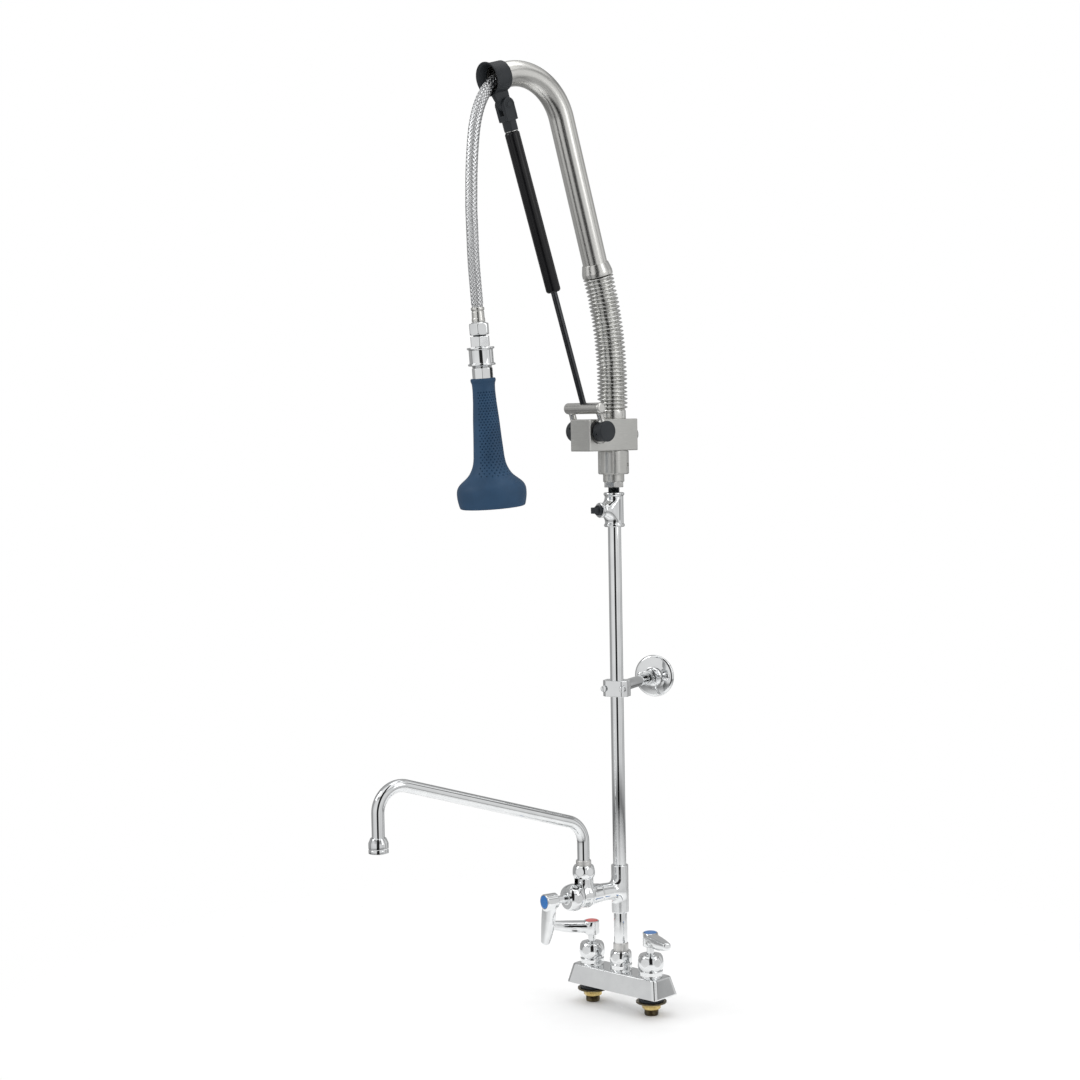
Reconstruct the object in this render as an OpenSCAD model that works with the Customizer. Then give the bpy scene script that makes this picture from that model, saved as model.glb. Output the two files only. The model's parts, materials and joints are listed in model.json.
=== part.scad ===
// Deck-mounted pre-rinse faucet with add-on swing nozzle, gas-strut balanced gooseneck and spray valve.
// Millimetres. The origin is on the deck under the middle of the base, +Z up, -Y towards the user.

/* [Deck base] */
// Length of the base along X
base_length = 154; // [150:1:170]
// Depth of the base along Y
base_depth = 48; // [46:1:56]
// Height of the cast base
base_height = 25; // [22:1:28]
// Distance between the hot and cold valve centres
valve_centres = 101.6; // [101.6]
// Outside diameter of the threaded supply shanks
shank_od = 18.6; // [17:0.1:20]
// Length of the shanks below the deck
shank_drop = 26; // [26:1:60]

/* [Levers] */
// Distance from a lever's hub axis to its tip
lever_length = 58; // [50:1:66]
// Diameter of a lever's hub
lever_hub_od = 20; // [18:0.5:22]
// Direction of the hot lever at rest, degrees from +X
hot_angle = 221; // [200:1:260]
// Direction of the cold lever at rest, degrees from +X
cold_angle = -28; // [-60:1:0]

/* [Riser] */
// Outside diameter of the riser pipe
riser_od = 17.15; // [17.15]
// Inside diameter of the riser pipe
riser_id = 12.5; // [12:0.1:13]
// Height of the lower end of the riser pipe
riser_bottom = 160; // [155:1:165]
// Height of the upper end of the riser pipe
riser_top = 616; // [610:1:620]
// Height of the tee's centre
tee_z = 630; // [628:1:632]

/* [Add-on faucet] */
// Height of the add-on body's horizontal axis
addon_z = 131; // [130:1:133]
// Turn of the add-on body about the riser
addon_yaw = -14; // [-20:1:0]
// Distance from the riser axis to the nozzle's swivel axis
nozzle_offset = 57; // [56:1:60]
// Reach of the swing nozzle from its swivel axis to its outlet
nozzle_reach = 300; // [250:1:305]
// Outside diameter of the nozzle tube
nozzle_od = 15.9; // [15:0.1:16]

/* [Wall bracket] */
// Height of the wall bracket
bracket_z = 397; // [300:1:450]
// Distance from the riser axis to the wall
wall_distance = 132; // [110:1:160]
// Turn of the bracket about the riser
bracket_yaw = 18; // [0:1:20]
// Diameter of the wall flange
flange_od = 57; // [50:1:60]

/* [Hub and hinge block] */
// Turn of the gooseneck's plane about the riser
neck_yaw = -7.5; // [-12:0.5:0]
// Width of the hinge block
block_width = 38; // [38:1:42]
// Height of the hinge block
block_height = 41; // [40:1:43]
// Height of the underside of the hinge block
block_bottom = 706.5; // [706.5]
// Reach of the hinge axis in front of the riser axis
hinge_reach = 38.5; // [38.5]
// Height of the hinge axis
hinge_z = 732; // [732]

/* [Gooseneck] */
// Height at which the bent bellows' two tangents meet
bend_z = 856; // [856]
// Lean of the gooseneck at rest, degrees from vertical
neck_lean = 16.2; // [16.2]
// Outside diameter of the gooseneck tube
neck_od = 31.75; // [31.75]
// Wall of the gooseneck tube
neck_wall = 1.5; // [1.2:0.1:1.7]
// Radius of the gooseneck's top bend
neck_bend_r = 70; // [66:1:72]
// Slope of the mouth below horizontal
mouth_slope = 15.6; // [15.6]
// Outside diameter of the bellows
bellows_od = 39.5; // [38:0.5:40]

/* [Gas strut] */
// Lean of the strut at rest, degrees from vertical
strut_lean = 18; // [18]
// Distance from the hinge axis to the clevis pin
strut_length = 424.5; // [424.5]
// Outside diameter of the strut cylinder
strut_od = 18.7; // [18:0.1:19]
// Diameter of the strut rod
strut_rod_od = 8; // [8]

/* [Hose and spray valve] */
// Outside diameter of the braided hose
hose_od = 14.8; // [14.8]
// Backward lean of the spray valve at rest, degrees from vertical
valve_lean = 4.2; // [4.2]
// Direction of the trigger about the valve axis
trigger_angle = 140; // [130:1:150]
// Diameter of the spray valve's bell
bell_od = 86.4; // [84:0.1:88]
// Length of the rubber grip
grip_length = 159; // [159]

/* [Hidden] */
$fn = 64;
lap = 1;
proud = 0.1;
valve_x = valve_centres / 2;
boss_top = 33;
lever_base_z = 64;
lever_hub_h = 18;
ball_r = 16.6;
block_front = 56;
block_back = 26;
bellows_foot = 760;
bellows_bend_foot = 790;
collar_start = 78;
neck_id = neck_od - 2 * neck_wall;
mouth = [196.5, 1164.5];
turn = 90 - neck_lean + mouth_slope;
// Distance along the leaning tube, from the bend height, at which the two straight axes meet
corner_run = (mouth[0] * sin(mouth_slope) + (mouth[1] - bend_z) * cos(mouth_slope))
           / (sin(neck_lean) * sin(mouth_slope) + cos(neck_lean) * cos(mouth_slope));
tangent_run = neck_bend_r * tan(turn / 2);
straight_run = corner_run - tangent_run;
corner = [corner_run * sin(neck_lean), bend_z + corner_run * cos(neck_lean)];
arc_centre = [corner[0] - tangent_run * sin(neck_lean) + neck_bend_r * cos(neck_lean),
              corner[1] - tangent_run * cos(neck_lean) - neck_bend_r * sin(neck_lean)];
mouth_run = (mouth[0] - corner[0]) / cos(mouth_slope) - tangent_run;
bellows_t = bend_z - bellows_bend_foot;
bellows_r = bellows_t / tan(neck_lean / 2);
ring_length = 25.6;
valve_top = [218, 887];
// Route of the free hose in the gooseneck's plane: reach and height, from the mouth to the ferrule
hose_route = [[194, 1156], [200.5, 1147.5], [206, 1138.5], [211, 1127.5], [216, 1111], [219, 1094],
              [221, 1077], [222.5, 1060], [223.5, 1042], [224, 1024], [224.5, 1006], [224, 988],
              [223.5, 970], [223, 952], [222, 934], [220.5, 916], [219, 899], [218, 887]];
// End of the hose inside the gooseneck, from the top bend to just inside the mouth
mouth_route = [[173, 1170.5], [181, 1166.5], [187, 1162], [191.3, 1158.5]];

chrome = "gainsboro";
steel = "silver";
black = "#26292c";
brass = "#b59a4a";
blue = "#1e6fb8";
red = "#d9534f";
grip_blue = "#2b4a6b";

// ---------- placements ----------
module neck_plane() rotate([0, 0, neck_yaw]) children();
module along_neck() neck_plane() translate([0, 0, bend_z]) rotate([neck_lean, 0, 0]) children();
module along_mouth()
    neck_plane() translate([0, -mouth[0], mouth[1]]) rotate([90 + mouth_slope, 0, 0]) children();
module along_strut()
    neck_plane() translate([0, -hinge_reach, hinge_z]) rotate([strut_lean, 0, 0]) children();
module along_hinge()
    neck_plane() translate([0, -hinge_reach, hinge_z]) rotate([0, 90, 0]) children();
module along_valve()
    neck_plane() translate([0, -valve_top[0], valve_top[1]]) rotate([valve_lean, 0, 0])
        rotate([180, 0, 0]) children();
module trigger_frame() along_valve() rotate([0, 0, -trigger_angle]) children();
module addon_plane() rotate([0, 0, addon_yaw]) children();
// +Z of the children points forwards along the add-on body
module along_addon() addon_plane() translate([0, 0, addon_z]) rotate([90, 0, 0]) children();
module at_nozzle() addon_plane() translate([0, -nozzle_offset, 0]) children();
// +Z of the children points back towards the wall
module along_bracket()
    rotate([0, 0, bracket_yaw]) translate([0, 0, bracket_z]) rotate([-90, 0, 0]) children();
module both_valves() for (side = [-1, 1]) translate([side * valve_x, 0, 0]) children();

// ---------- shared shapes ----------
module tube(od, id, h) difference() {
    cylinder(d = od, h = h);
    translate([0, 0, -1]) cylinder(d = id, h = h + 2);
}
// Solid bend in the YZ plane: the centre's reach and height, the radius, the start and swept angles
module bend(centre, r, from, sweep, d)
    translate([0, -centre[0], centre[1]]) rotate([90, 0, 90]) rotate([0, 0, from])
        rotate_extrude(angle = sweep) translate([r, 0]) circle(d = d);
// Straight bar that runs a little into the bends at its ends and stands a hair proud of them
module run(d, from, to, lap_from = lap, lap_to = lap)
    translate([0, 0, from - lap_from]) cylinder(d = d + proud, h = to - from + lap_from + lap_to);
// Ball-shaped nut with six broad flats, standing on z = 0
module ball_nut(r, h, bore) difference() {
    intersection() {
        translate([0, 0, h * 0.48]) sphere(r = r);
        cylinder(r = r * 1.08, h = h, $fn = 6);
    }
    translate([0, 0, -1]) cylinder(d = bore, h = h + 2);
}
// Hexagonal nut with turned chamfers at both ends
module hex_nut(af, h, bore, chamfer = 1.2) difference() {
    intersection() {
        cylinder(d = af / cos(30), h = h, $fn = 6);
        rotate_extrude() polygon([[0, 0], [af / 2, 0], [af / 2 + chamfer * 2, chamfer * 1.2],
                                  [af / 2 + chamfer * 2, h - chamfer * 1.2], [af / 2, h], [0, h]]);
    }
    translate([0, 0, -1]) cylinder(d = bore, h = h + 2);
}
// Lever with its hub on +Z and its blade along +X
module lever() {
    difference() {
        union() {
            cylinder(d = lever_hub_od, h = lever_hub_h);
            hull() {
                translate([4, 0, 3]) cylinder(d = 15, h = 14.5, $fn = 32);
                translate([24, 0, 2]) cylinder(d = 16.5, h = 14.8, $fn = 32);
                translate([lever_length - 5, 0, 7.5]) cylinder(d = 10, h = 8.5, $fn = 32);
            }
        }
        translate([0, 0, -1]) cylinder(d = 7.96, h = 11);
        translate([0, 0, lever_hub_h - 3]) cylinder(d = 17, h = 4);
    }
}
module index_cap() translate([0, 0, lever_hub_h - 3]) {
    cylinder(d = 16.9, h = 3);
    translate([0, 0, 3]) cylinder(d = 16, h = 0.8);
}
module valve_stem_shaft(reach) {
    cylinder(d = 10, h = reach);
    translate([0, 0, reach]) cylinder(d = 7.96, h = 10);
}

// ---------- swept hose ----------
ring_sides = 10;
function ring_at(p, dir, d) = [for (i = [0:ring_sides - 1])
    let (a = 360 * i / ring_sides)
    [d / 2 * cos(a), -p[0] - d / 2 * sin(a) * dir[1], p[1] - d / 2 * sin(a) * dir[0]]];
function heading(route, i) =
    let (a = route[max(i - 1, 0)], b = route[min(i + 1, len(route) - 1)], d = b - a) d / norm(d);
module swept(route, d, first = [0, 0], last = [0, 0]) {
    n = len(route);
    s = ring_sides;
    rings = [for (i = [0:n - 1])
        ring_at(route[i], i == 0 && norm(first) > 0 ? first
                          : i == n - 1 && norm(last) > 0 ? last : heading(route, i), d)];
    points = [for (ring = rings) for (p = ring) p];
    walls = [for (i = [0:n - 2]) for (j = [0:s - 1])
        let (k = (j + 1) % s)
        for (face = [[i * s + j, i * s + k, (i + 1) * s + k],
                     [i * s + j, (i + 1) * s + k, (i + 1) * s + j]]) face];
    polyhedron(points, concat(walls, [[for (j = [s - 1:-1:0]) j]],
                              [[for (j = [0:s - 1]) (n - 1) * s + j]]));
}

// ---------- deck base ----------
module deck_base() color(chrome) difference() {
    union() {
        hull() for (sx = [-1, 1], sy = [-1, 1]) {
            translate([sx * (base_length / 2 - 7), sy * (base_depth / 2 - 7), 0])
                cylinder(r = 7, h = 1, $fn = 32);
            translate([sx * (base_length / 2 - 11), sy * (base_depth / 2 - 11), base_height - 1])
                cylinder(r = 5, h = 1, $fn = 32);
        }
        both_valves() cylinder(d = 31.6, h = boss_top);
        cylinder(d = 29, h = boss_top);
    }
    both_valves() {
        translate([0, 0, -1]) cylinder(d = shank_od, h = 11);
        translate([0, 0, 9]) cylinder(d = 12, h = 4);
        translate([0, 0, 12]) cylinder(d = 22, h = 30);
    }
    translate([0, 0, 12]) cylinder(d = 14, h = 30);
    translate([-valve_x + 10, 0, 16]) rotate([0, 90, 0]) cylinder(d = 7, h = valve_centres - 20);
}
// Length of each shank's free thread end, where the supply nut screws on, and of the relief above it
shank_end = 7.6;
relief = 1;
// Underside of the washers and height of the locknut, hanging loose below the deck plane
washer_z = -10;
nut_h = 8;
nut_hex_h = 5;
module inlet_shanks() color(brass) both_valves() translate([0, 0, -shank_drop]) {
    tube(shank_od, 12, shank_end);
    translate([0, 0, shank_end]) tube(shank_od - 1.6, 12, relief);
    translate([0, 0, shank_end + relief]) tube(shank_od, 12, shank_drop + 10 - shank_end - relief);
}
module shank_washers() color("#5a4e33") both_valves() translate([0, 0, washer_z]) {
    tube(40, shank_od + 0.4, 2.2);
    translate([0, 0, 2.2]) tube(33, shank_od + 0.4, 3.4);
}
module shank_locknuts() color(brass) both_valves() translate([0, 0, washer_z - nut_h]) difference() {
    union() {
        translate([0, 0, nut_hex_h - 0.6]) cylinder(d = 26.6, h = nut_h - nut_hex_h + 0.6);
        hex_nut(21.6, nut_hex_h, 10);
    }
    translate([0, 0, -1]) cylinder(d = shank_od + 0.04, h = 20);
}

// ---------- valves ----------
module cartridge() difference() {
    union() {
        cylinder(d = 21.8, h = 20.8);
        translate([0, 0, 20.8]) cylinder(d = 16, h = 16);
    }
    translate([0, 0, 18]) cylinder(d = 10.1, h = 30);
    translate([0, 0, -1]) cylinder(d = 9, h = 12);
}
module valve_cartridges() color(brass) {
    both_valves() translate([0, 0, 12.2]) cartridge();
    along_addon() translate([0, 0, 44.2]) cartridge();
}
module bonnet() difference() {
    ball_nut(ball_r, 21, 16.2);
    translate([0, 0, 16.9]) cylinder(d = 17, h = 1);
}
module valve_bonnets() color(chrome) {
    both_valves() translate([0, 0, boss_top]) bonnet();
    along_addon() translate([0, 0, 65]) rotate([0, 0, 30]) bonnet();
}
module hot_stem() color(steel) translate([-valve_x, 0, 30.4]) valve_stem_shaft(lever_base_z - 30.4);
module cold_stem() color(steel) translate([valve_x, 0, 30.4]) valve_stem_shaft(lever_base_z - 30.4);
module addon_stem() color(steel) along_addon() translate([0, 0, 62.4]) valve_stem_shaft(38.6);
module hot_place() translate([-valve_x, 0, lever_base_z]) rotate([0, 0, hot_angle]) children();
module cold_place() translate([valve_x, 0, lever_base_z]) rotate([0, 0, cold_angle]) children();
module addon_lever_place() along_addon() translate([0, 0, 101]) rotate([0, 0, -98]) children();
module hot_handle() color(chrome) hot_place() lever();
module cold_handle() color(chrome) cold_place() lever();
module addon_handle() color(chrome) addon_lever_place() lever();
module hot_index() color(red) hot_place() index_cap();
module cold_index() color(blue) cold_place() index_cap();
module addon_index() color(blue) addon_lever_place() index_cap();

// ---------- riser and add-on body ----------
module swivel_nuts() color(chrome) {
    translate([0, 0, boss_top]) ball_nut(15.4, 17, 19.9);
    at_nozzle() translate([0, 0, 155]) ball_nut(14.8, 16, 19.9);
}
module lower_nipple() color(chrome) difference() {
    union() {
        translate([0, 0, 20]) cylinder(d = 14, h = 14);
        translate([0, 0, boss_top]) cylinder(d = 19.8, h = 28);
        translate([0, 0, 60]) cylinder(d = 17.6, h = 50);
    }
    translate([0, 0, 19]) cylinder(d = 11, h = 100);
}
module addon_body() color(chrome) difference() {
    union() {
        translate([0, 0, 101]) cylinder(d = 22.4, h = 63);
        along_addon() cylinder(d1 = 21.5, d2 = 24, h = 38);
        along_addon() translate([0, 0, 38]) cylinder(d1 = 24, d2 = 30, h = 12);
        along_addon() translate([0, 0, 50]) cylinder(d = 31, h = 15);
        at_nozzle() translate([0, 0, addon_z]) cylinder(d = 24.4, h = 24);
    }
    translate([0, 0, 100]) cylinder(d = 17.6, h = 10);
    translate([0, 0, 105]) cylinder(d = 12.5, h = 60);
    translate([0, 0, riser_bottom]) cylinder(d = riser_od, h = 10);
    along_addon() cylinder(d = 9, h = 46);
    along_addon() translate([0, 0, 44]) cylinder(d = 22, h = 30);
    along_addon() translate([0, 0, 65]) cylinder(d = 34.6, h = 10);
    at_nozzle() translate([0, 0, 142.8]) cylinder(d = 16, h = 20);
    at_nozzle() translate([0, 0, addon_z]) cylinder(d = 9, h = 20);
}
module riser_pipe() color(chrome) translate([0, 0, riser_bottom])
    tube(riser_od, riser_id, riser_top - riser_bottom);
module tee() color(chrome) difference() {
    union() {
        translate([0, 0, 608]) cylinder(d = 24.4, h = 44);
        for (z = [608, 649]) translate([0, 0, z]) cylinder(d = 27, h = 3);
        neck_plane() translate([0, 0, tee_z]) rotate([90, 0, 0]) {
            cylinder(d = 17, h = 24);
            translate([0, 0, 22.5]) cylinder(d = 19.4, h = 3);
        }
    }
    translate([0, 0, 607]) cylinder(d = riser_od, h = riser_top - 607);
    translate([0, 0, 615]) cylinder(d = 13, h = 30);
    translate([0, 0, 642]) cylinder(d = 15.6, h = 11);
    neck_plane() translate([0, 0, tee_z]) rotate([90, 0, 0]) {
        cylinder(d = 8, h = 20);
        translate([0, 0, 14]) cylinder(d = 11, h = 20);
    }
}
module tee_plug() color(black) neck_plane() translate([0, 0, tee_z]) rotate([90, 0, 0]) {
    translate([0, 0, 14]) cylinder(d = 11, h = 12);
    translate([0, 0, 25.5]) cylinder(d = 13, h = 4);
    translate([-4, -4, 29.5]) cube([8, 8, 7.5]);
}
module top_nipple() color("#4b4f50") translate([0, 0, 642]) tube(15.6, 10, 17);

// ---------- wall bracket ----------
module clamp_half(gap) difference() {
    intersection() {
        translate([-17, -10.5, gap]) cube([34, 21, 12]);
        translate([0, 0, -1]) rotate([0, 0, 22.5]) cylinder(r = 18.6, h = 20, $fn = 8);
    }
    rotate([90, 0, 0]) cylinder(d = riser_od, h = 40, center = true);
    for (x = [-13, 13]) translate([x, 0, -1]) cylinder(d = 4.2, h = 30);
}
module riser_clamp() color(chrome) along_bracket() {
    difference() {
        clamp_half(0.4);
        translate([0, 0, 9.6]) cylinder(d = 9, h = 10);
    }
    mirror([0, 0, 1]) clamp_half(0.4);
}
module clamp_screws() color(chrome) along_bracket() for (x = [-13, 13]) translate([x, 0, 0]) {
    translate([0, 0, -12.4]) cylinder(d = 4.2, h = 24.8);
    difference() {
        translate([0, 0, -15.4]) cylinder(d1 = 6.4, d2 = 8.2, h = 3);
        translate([-5, -0.6, -16]) cube([10, 1.2, 2]);
    }
}
module bracket_rod() color(chrome) along_bracket() {
    translate([0, 0, 9.6]) cylinder(d = 9, h = 4);
    translate([0, 0, 12.4]) cylinder(d = 14.3, h = wall_distance - 44);
    translate([0, 0, wall_distance - 34]) cylinder(d = 12, h = 28);
}
module bracket_nuts() color(chrome) along_bracket() for (z = [28, 19])
    translate([0, 0, wall_distance - z]) hex_nut(18, z == 28 ? 5 : 6, 12.04);
module wall_flange() color(chrome) along_bracket() difference() {
    union() {
        translate([0, 0, wall_distance - 3]) cylinder(d = flange_od, h = 3);
        translate([0, 0, wall_distance - 5]) cylinder(d1 = flange_od - 9, d2 = flange_od - 1, h = 2);
        translate([0, 0, wall_distance - 13]) cylinder(d1 = 18, d2 = 23, h = 9);
    }
    translate([0, 0, wall_distance - 14]) cylinder(d = 12.04, h = 8);
    for (x = [-18, 18]) translate([x, 0, wall_distance - 6]) cylinder(d = 5, h = 10);
}
module flange_screws() color(chrome) along_bracket() for (x = [-18, 18]) {
    translate([x, 0, wall_distance - 5.02]) cylinder(d = 4.9, h = 27);
    translate([x, 0, wall_distance - 8.02]) cylinder(d1 = 6, d2 = 11.4, h = 3);
}

// ---------- swivel hub and hinge block ----------
module hub_spigot() color(steel) difference() {
    union() {
        translate([0, 0, 659]) cylinder(d = 24.5 / cos(30), h = 7, $fn = 6);
        translate([0, 0, 666]) cylinder(d = 27.6, h = 9.7);
        translate([0, 0, 675]) cylinder(d = 18, h = 34);
    }
    translate([0, 0, 650]) cylinder(d = 10, h = 70);
}
module swivel_hub() color(steel) neck_plane() difference() {
    union() {
        intersection() {
            translate([0, 0, 676]) cylinder(d = 40, h = 30.5);
            translate([-19, -19.2, 676]) cube([38, 39.2, 30.5]);
        }
        translate([0, 0, 706.5]) cylinder(d = 30, h = block_height);
    }
    translate([0, 0, 675]) cylinder(d = 18.1, h = 35);
    translate([0, 0, 700]) cylinder(d = 10, h = 60);
    for (a = [-150, -100, -40]) rotate([0, 0, a]) translate([20, 0, 675]) cylinder(r = 1.6, h = 31.5);
}
module hinge_block() color(steel) neck_plane() difference() {
    translate([-block_width / 2, -block_front, block_bottom])
        cube([block_width, block_front + block_back, block_height]);
    translate([0, 0, block_bottom - 1]) cylinder(d = 30, h = block_height + 2);
    translate([-block_width, -hinge_reach, hinge_z]) rotate([0, 90, 0])
        cylinder(d = 10.1, h = 2 * block_width);
    for (side = [0, 1]) mirror([side, 0, 0]) translate([block_width / 2 - 0.8, -hinge_reach, hinge_z])
        rotate([0, 90, 0]) cylinder(d = 31, h = 3);
    translate([0, block_back + 1, hinge_z - 5]) rotate([90, 0, 0]) cylinder(d = 8, h = 15);
}
module block_bolt() color(steel) neck_plane() translate([0, block_back, hinge_z - 5])
    rotate([-90, 0, 0]) {
        translate([0, 0, -10]) cylinder(d = 8, h = 10);
        cylinder(d = 16.4, h = 10.4);
        translate([0, 0, 10.4]) cylinder(d1 = 16.4, d2 = 13.6, h = 1.4);
    }
module lower_collar() color(steel) translate([0, 0, 747.5]) tube(34, 20, 12.5);

// ---------- gooseneck ----------
module bellows_bar(d, foot, top) {
    neck_plane() run(d, foot, bellows_bend_foot, 0, lap);
    neck_plane() bend([bellows_r, bellows_bend_foot], bellows_r, 0, neck_lean, d);
    along_neck() run(d, bellows_t, top, lap, 0);
}
module bellows() color(steel) difference() {
    bellows_bar(bellows_od, bellows_foot, collar_start);
    bellows_bar(33, bellows_foot - 1, collar_start + 1);
}
module inner_hose_flex() color("gray") difference() {
    bellows_bar(hose_od, 747.5, 88);
    bellows_bar(9, 746, 89);
}
module top_collar() color(steel) along_neck() difference() {
    union() {
        translate([0, 0, collar_start]) cylinder(d = 39.5, h = 5);
        translate([0, 0, collar_start + 5]) cylinder(d1 = 39.5, d2 = 34.5, h = 11);
    }
    translate([0, 0, collar_start - 1]) cylinder(d = neck_od, h = 30);
}
module neck_bar(d, extra) {
    along_neck() run(d, collar_start + 2 - extra, straight_run, 0, lap);
    neck_plane() bend(arc_centre, neck_bend_r, neck_lean, turn, d);
    along_mouth() run(d, -mouth_run, -12 + extra, lap, 0);
}
module gooseneck_tube() color(steel) difference() {
    neck_bar(neck_od - proud, 0);
    neck_bar(neck_id, 1);
}
module mouth_ring() color(black) difference() {
    union() {
        along_mouth() rotate_extrude() polygon([
            [15, -ring_length], [18.6, -ring_length], [18.8, -9], [19.8, -3.5], [21.3, -1],
            [21.3, 0], [19.8, 0], [17.4, -2.5], [15.6, -6.5], [14.4, -12], [15, -12.01]]);
        neck_plane() translate([-3.5, 0, 0]) rotate([90, 0, 90]) linear_extrude(7) {
            translate([-clevis[0], clevis[1]]) circle(r = 8.6);
            translate([-clevis[0], clevis[1]]) rotate([0, 0, mouth_slope]) translate([-8.6, 0]) square([17.2, 18]);
        }
    }
    neck_plane() translate([-9, -clevis[0], clevis[1]]) rotate([0, 90, 0]) cylinder(d = 10.8, h = 18);
    along_mouth() translate([0, 0, -ring_length - 1]) cylinder(d = neck_od, h = ring_length - 11);
    along_mouth() translate([0, 0, -12.1]) cylinder(d = 28, h = 6);
}
clevis = [hinge_reach + strut_length * sin(strut_lean), hinge_z + strut_length * cos(strut_lean)];
// Points of the hose inside the gooseneck: the straight tube, its bend and the drop to the mouth
function straight_point(run) = [run * sin(neck_lean), bend_z + run * cos(neck_lean)];
function arc_point(a) =
    arc_centre + neck_bend_r * [-cos(neck_lean + a), sin(neck_lean + a)];
inner_route = concat(
    [for (run = [91:48:straight_run]) straight_point(run)],
    [for (a = [0:15:turn]) arc_point(a)],
    mouth_route);
module inner_hose() color("gray") neck_plane() swept(inner_route, hose_od);

// ---------- hinge, bail and gas strut ----------
module hinge_pin() color(steel) along_hinge() translate([0, 0, -31]) cylinder(d = 10, h = 62);
module hinge_knobs() color(black) along_hinge() for (side = [0, 1]) mirror([0, 0, side])
    difference() {
        union() {
            translate([0, 0, block_width / 2 + 0.3]) cylinder(d = 26.7, h = 13.7);
            translate([0, 0, block_width / 2 + 14]) cylinder(d1 = 26.7, d2 = 24, h = 1.6);
        }
        cylinder(d = 10, h = 31);
        translate([0, 0, 27]) rotate([0, 0, strut_lean]) rotate([0, -90, 0]) cylinder(d = 8.6, h = 20);
    }
module bail() color(steel) along_strut() difference() {
    union() {
        translate([-34, 0, 31]) rotate([0, 90, 0]) cylinder(d = 14.4, h = 68);
        for (x = [-27, 27]) translate([x, 0, 5.4]) cylinder(d = 8.6, h = 26);
    }
    translate([0, 0, 28]) cylinder(d = strut_rod_od, h = 14);
}
module strut_rod() color("#3a3d40") along_strut() {
    translate([0, 0, 28]) cylinder(d = strut_rod_od, h = 180);
    translate([0, 0, 208]) cylinder(d = 15.1, h = 8);
}
module strut_cylinder() color(black) along_strut() difference() {
    union() {
        translate([0, 0, 185.7]) cylinder(d1 = 16.5, d2 = strut_od, h = 2);
        translate([0, 0, 187.7]) cylinder(d = strut_od, h = 201);
        translate([0, 0, 388.7]) cylinder(d1 = strut_od, d2 = 15, h = 2);
        translate([0, 0, 390.7]) cylinder(d = 14, h = 2);
    }
    translate([0, 0, 180]) cylinder(d = strut_rod_od + 0.1, h = 20);
    translate([0, 0, 196]) cylinder(d = 15.2, h = 180);
}
module clevis_fork() color(black) along_strut() difference() {
    union() {
        translate([0, 0, 392.7]) cylinder(d = 17.6, h = 12.5, $fn = 6);
        translate([-9, -8.5, 404.5]) cube([18, 17, 20]);
        translate([-9, 0, strut_length]) rotate([0, 90, 0]) cylinder(d = 17, h = 18);
    }
    translate([-3.9, -20, 412]) cube([7.8, 40, 40]);
    translate([-12, 0, strut_length]) rotate([0, 90, 0]) cylinder(d = 6, h = 24);
}
module clevis_pin() color(black) along_strut() translate([-9.4, 0, strut_length]) rotate([0, 90, 0])
    cylinder(d = 6, h = 18.8);

// ---------- free hose and spray valve ----------
module hose_free() color("lightgray") neck_plane()
    swept(hose_route, hose_od, [0.6, -0.8], [-sin(valve_lean), -cos(valve_lean)]);
module hose_ferrule() color(chrome) along_valve() {
    cylinder(d = 15.6, h = 18.5);
    for (w = [1, 14.5]) translate([0, 0, w]) cylinder(d = 16.6, h = 3);
}
module hose_nut() color(chrome) along_valve() translate([0, 0, 18.5]) {
    cylinder(d1 = 18, d2 = 22.5, h = 3);
    translate([0, 0, 3]) hex_nut(22.6, 13, 9);
}
module hex_adaptor() color(chrome) along_valve() translate([0, 0, 34.5]) difference() {
    union() {
        cylinder(d = 17.5, h = 3);
        translate([0, 0, 3]) hex_nut(22.6, 11, 4);
        translate([0, 0, 13]) cylinder(d = 14, h = 16);
    }
    translate([0, 0, -1]) cylinder(d = 9, h = 40);
}
module swivel_sleeve() color(chrome) along_valve() difference() {
    union() {
        translate([0, 0, 48.9]) cylinder(d = 34, h = 2.5);
        translate([0, 0, 51.4]) cylinder(d = 30.2, h = 17.4);
        translate([0, 0, 68.8]) cylinder(d = 34, h = 2.6);
        translate([0, 0, 71]) cylinder(d = 24, h = 3);
    }
    translate([0, 0, 48]) cylinder(d = 14.1, h = 16.5);
    translate([0, 0, 60]) cylinder(d = 9, h = 20);
}
module valve_body() color(chrome) along_valve() difference() {
    union() {
        translate([0, 0, 74]) cylinder(d = 24.6, h = 13, $fn = 8);
        translate([0, 0, 86]) cylinder(d = 19.8, h = 140);
        rotate([0, 0, -trigger_angle]) for (side = [-1, 1])
            translate([8, side * 5 - 1.5, 90]) cube([14, 3, 13]);
    }
    translate([0, 0, 73]) cylinder(d = 9, h = 160);
    rotate([0, 0, -trigger_angle]) translate([-6, 0, 131]) rotate([0, 90, 0]) cylinder(d = 4.06, h = 30);
    rotate([0, 0, -trigger_angle]) translate([18.5, -10, 97]) rotate([-90, 0, 0]) cylinder(d = 4, h = 20);
}
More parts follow.
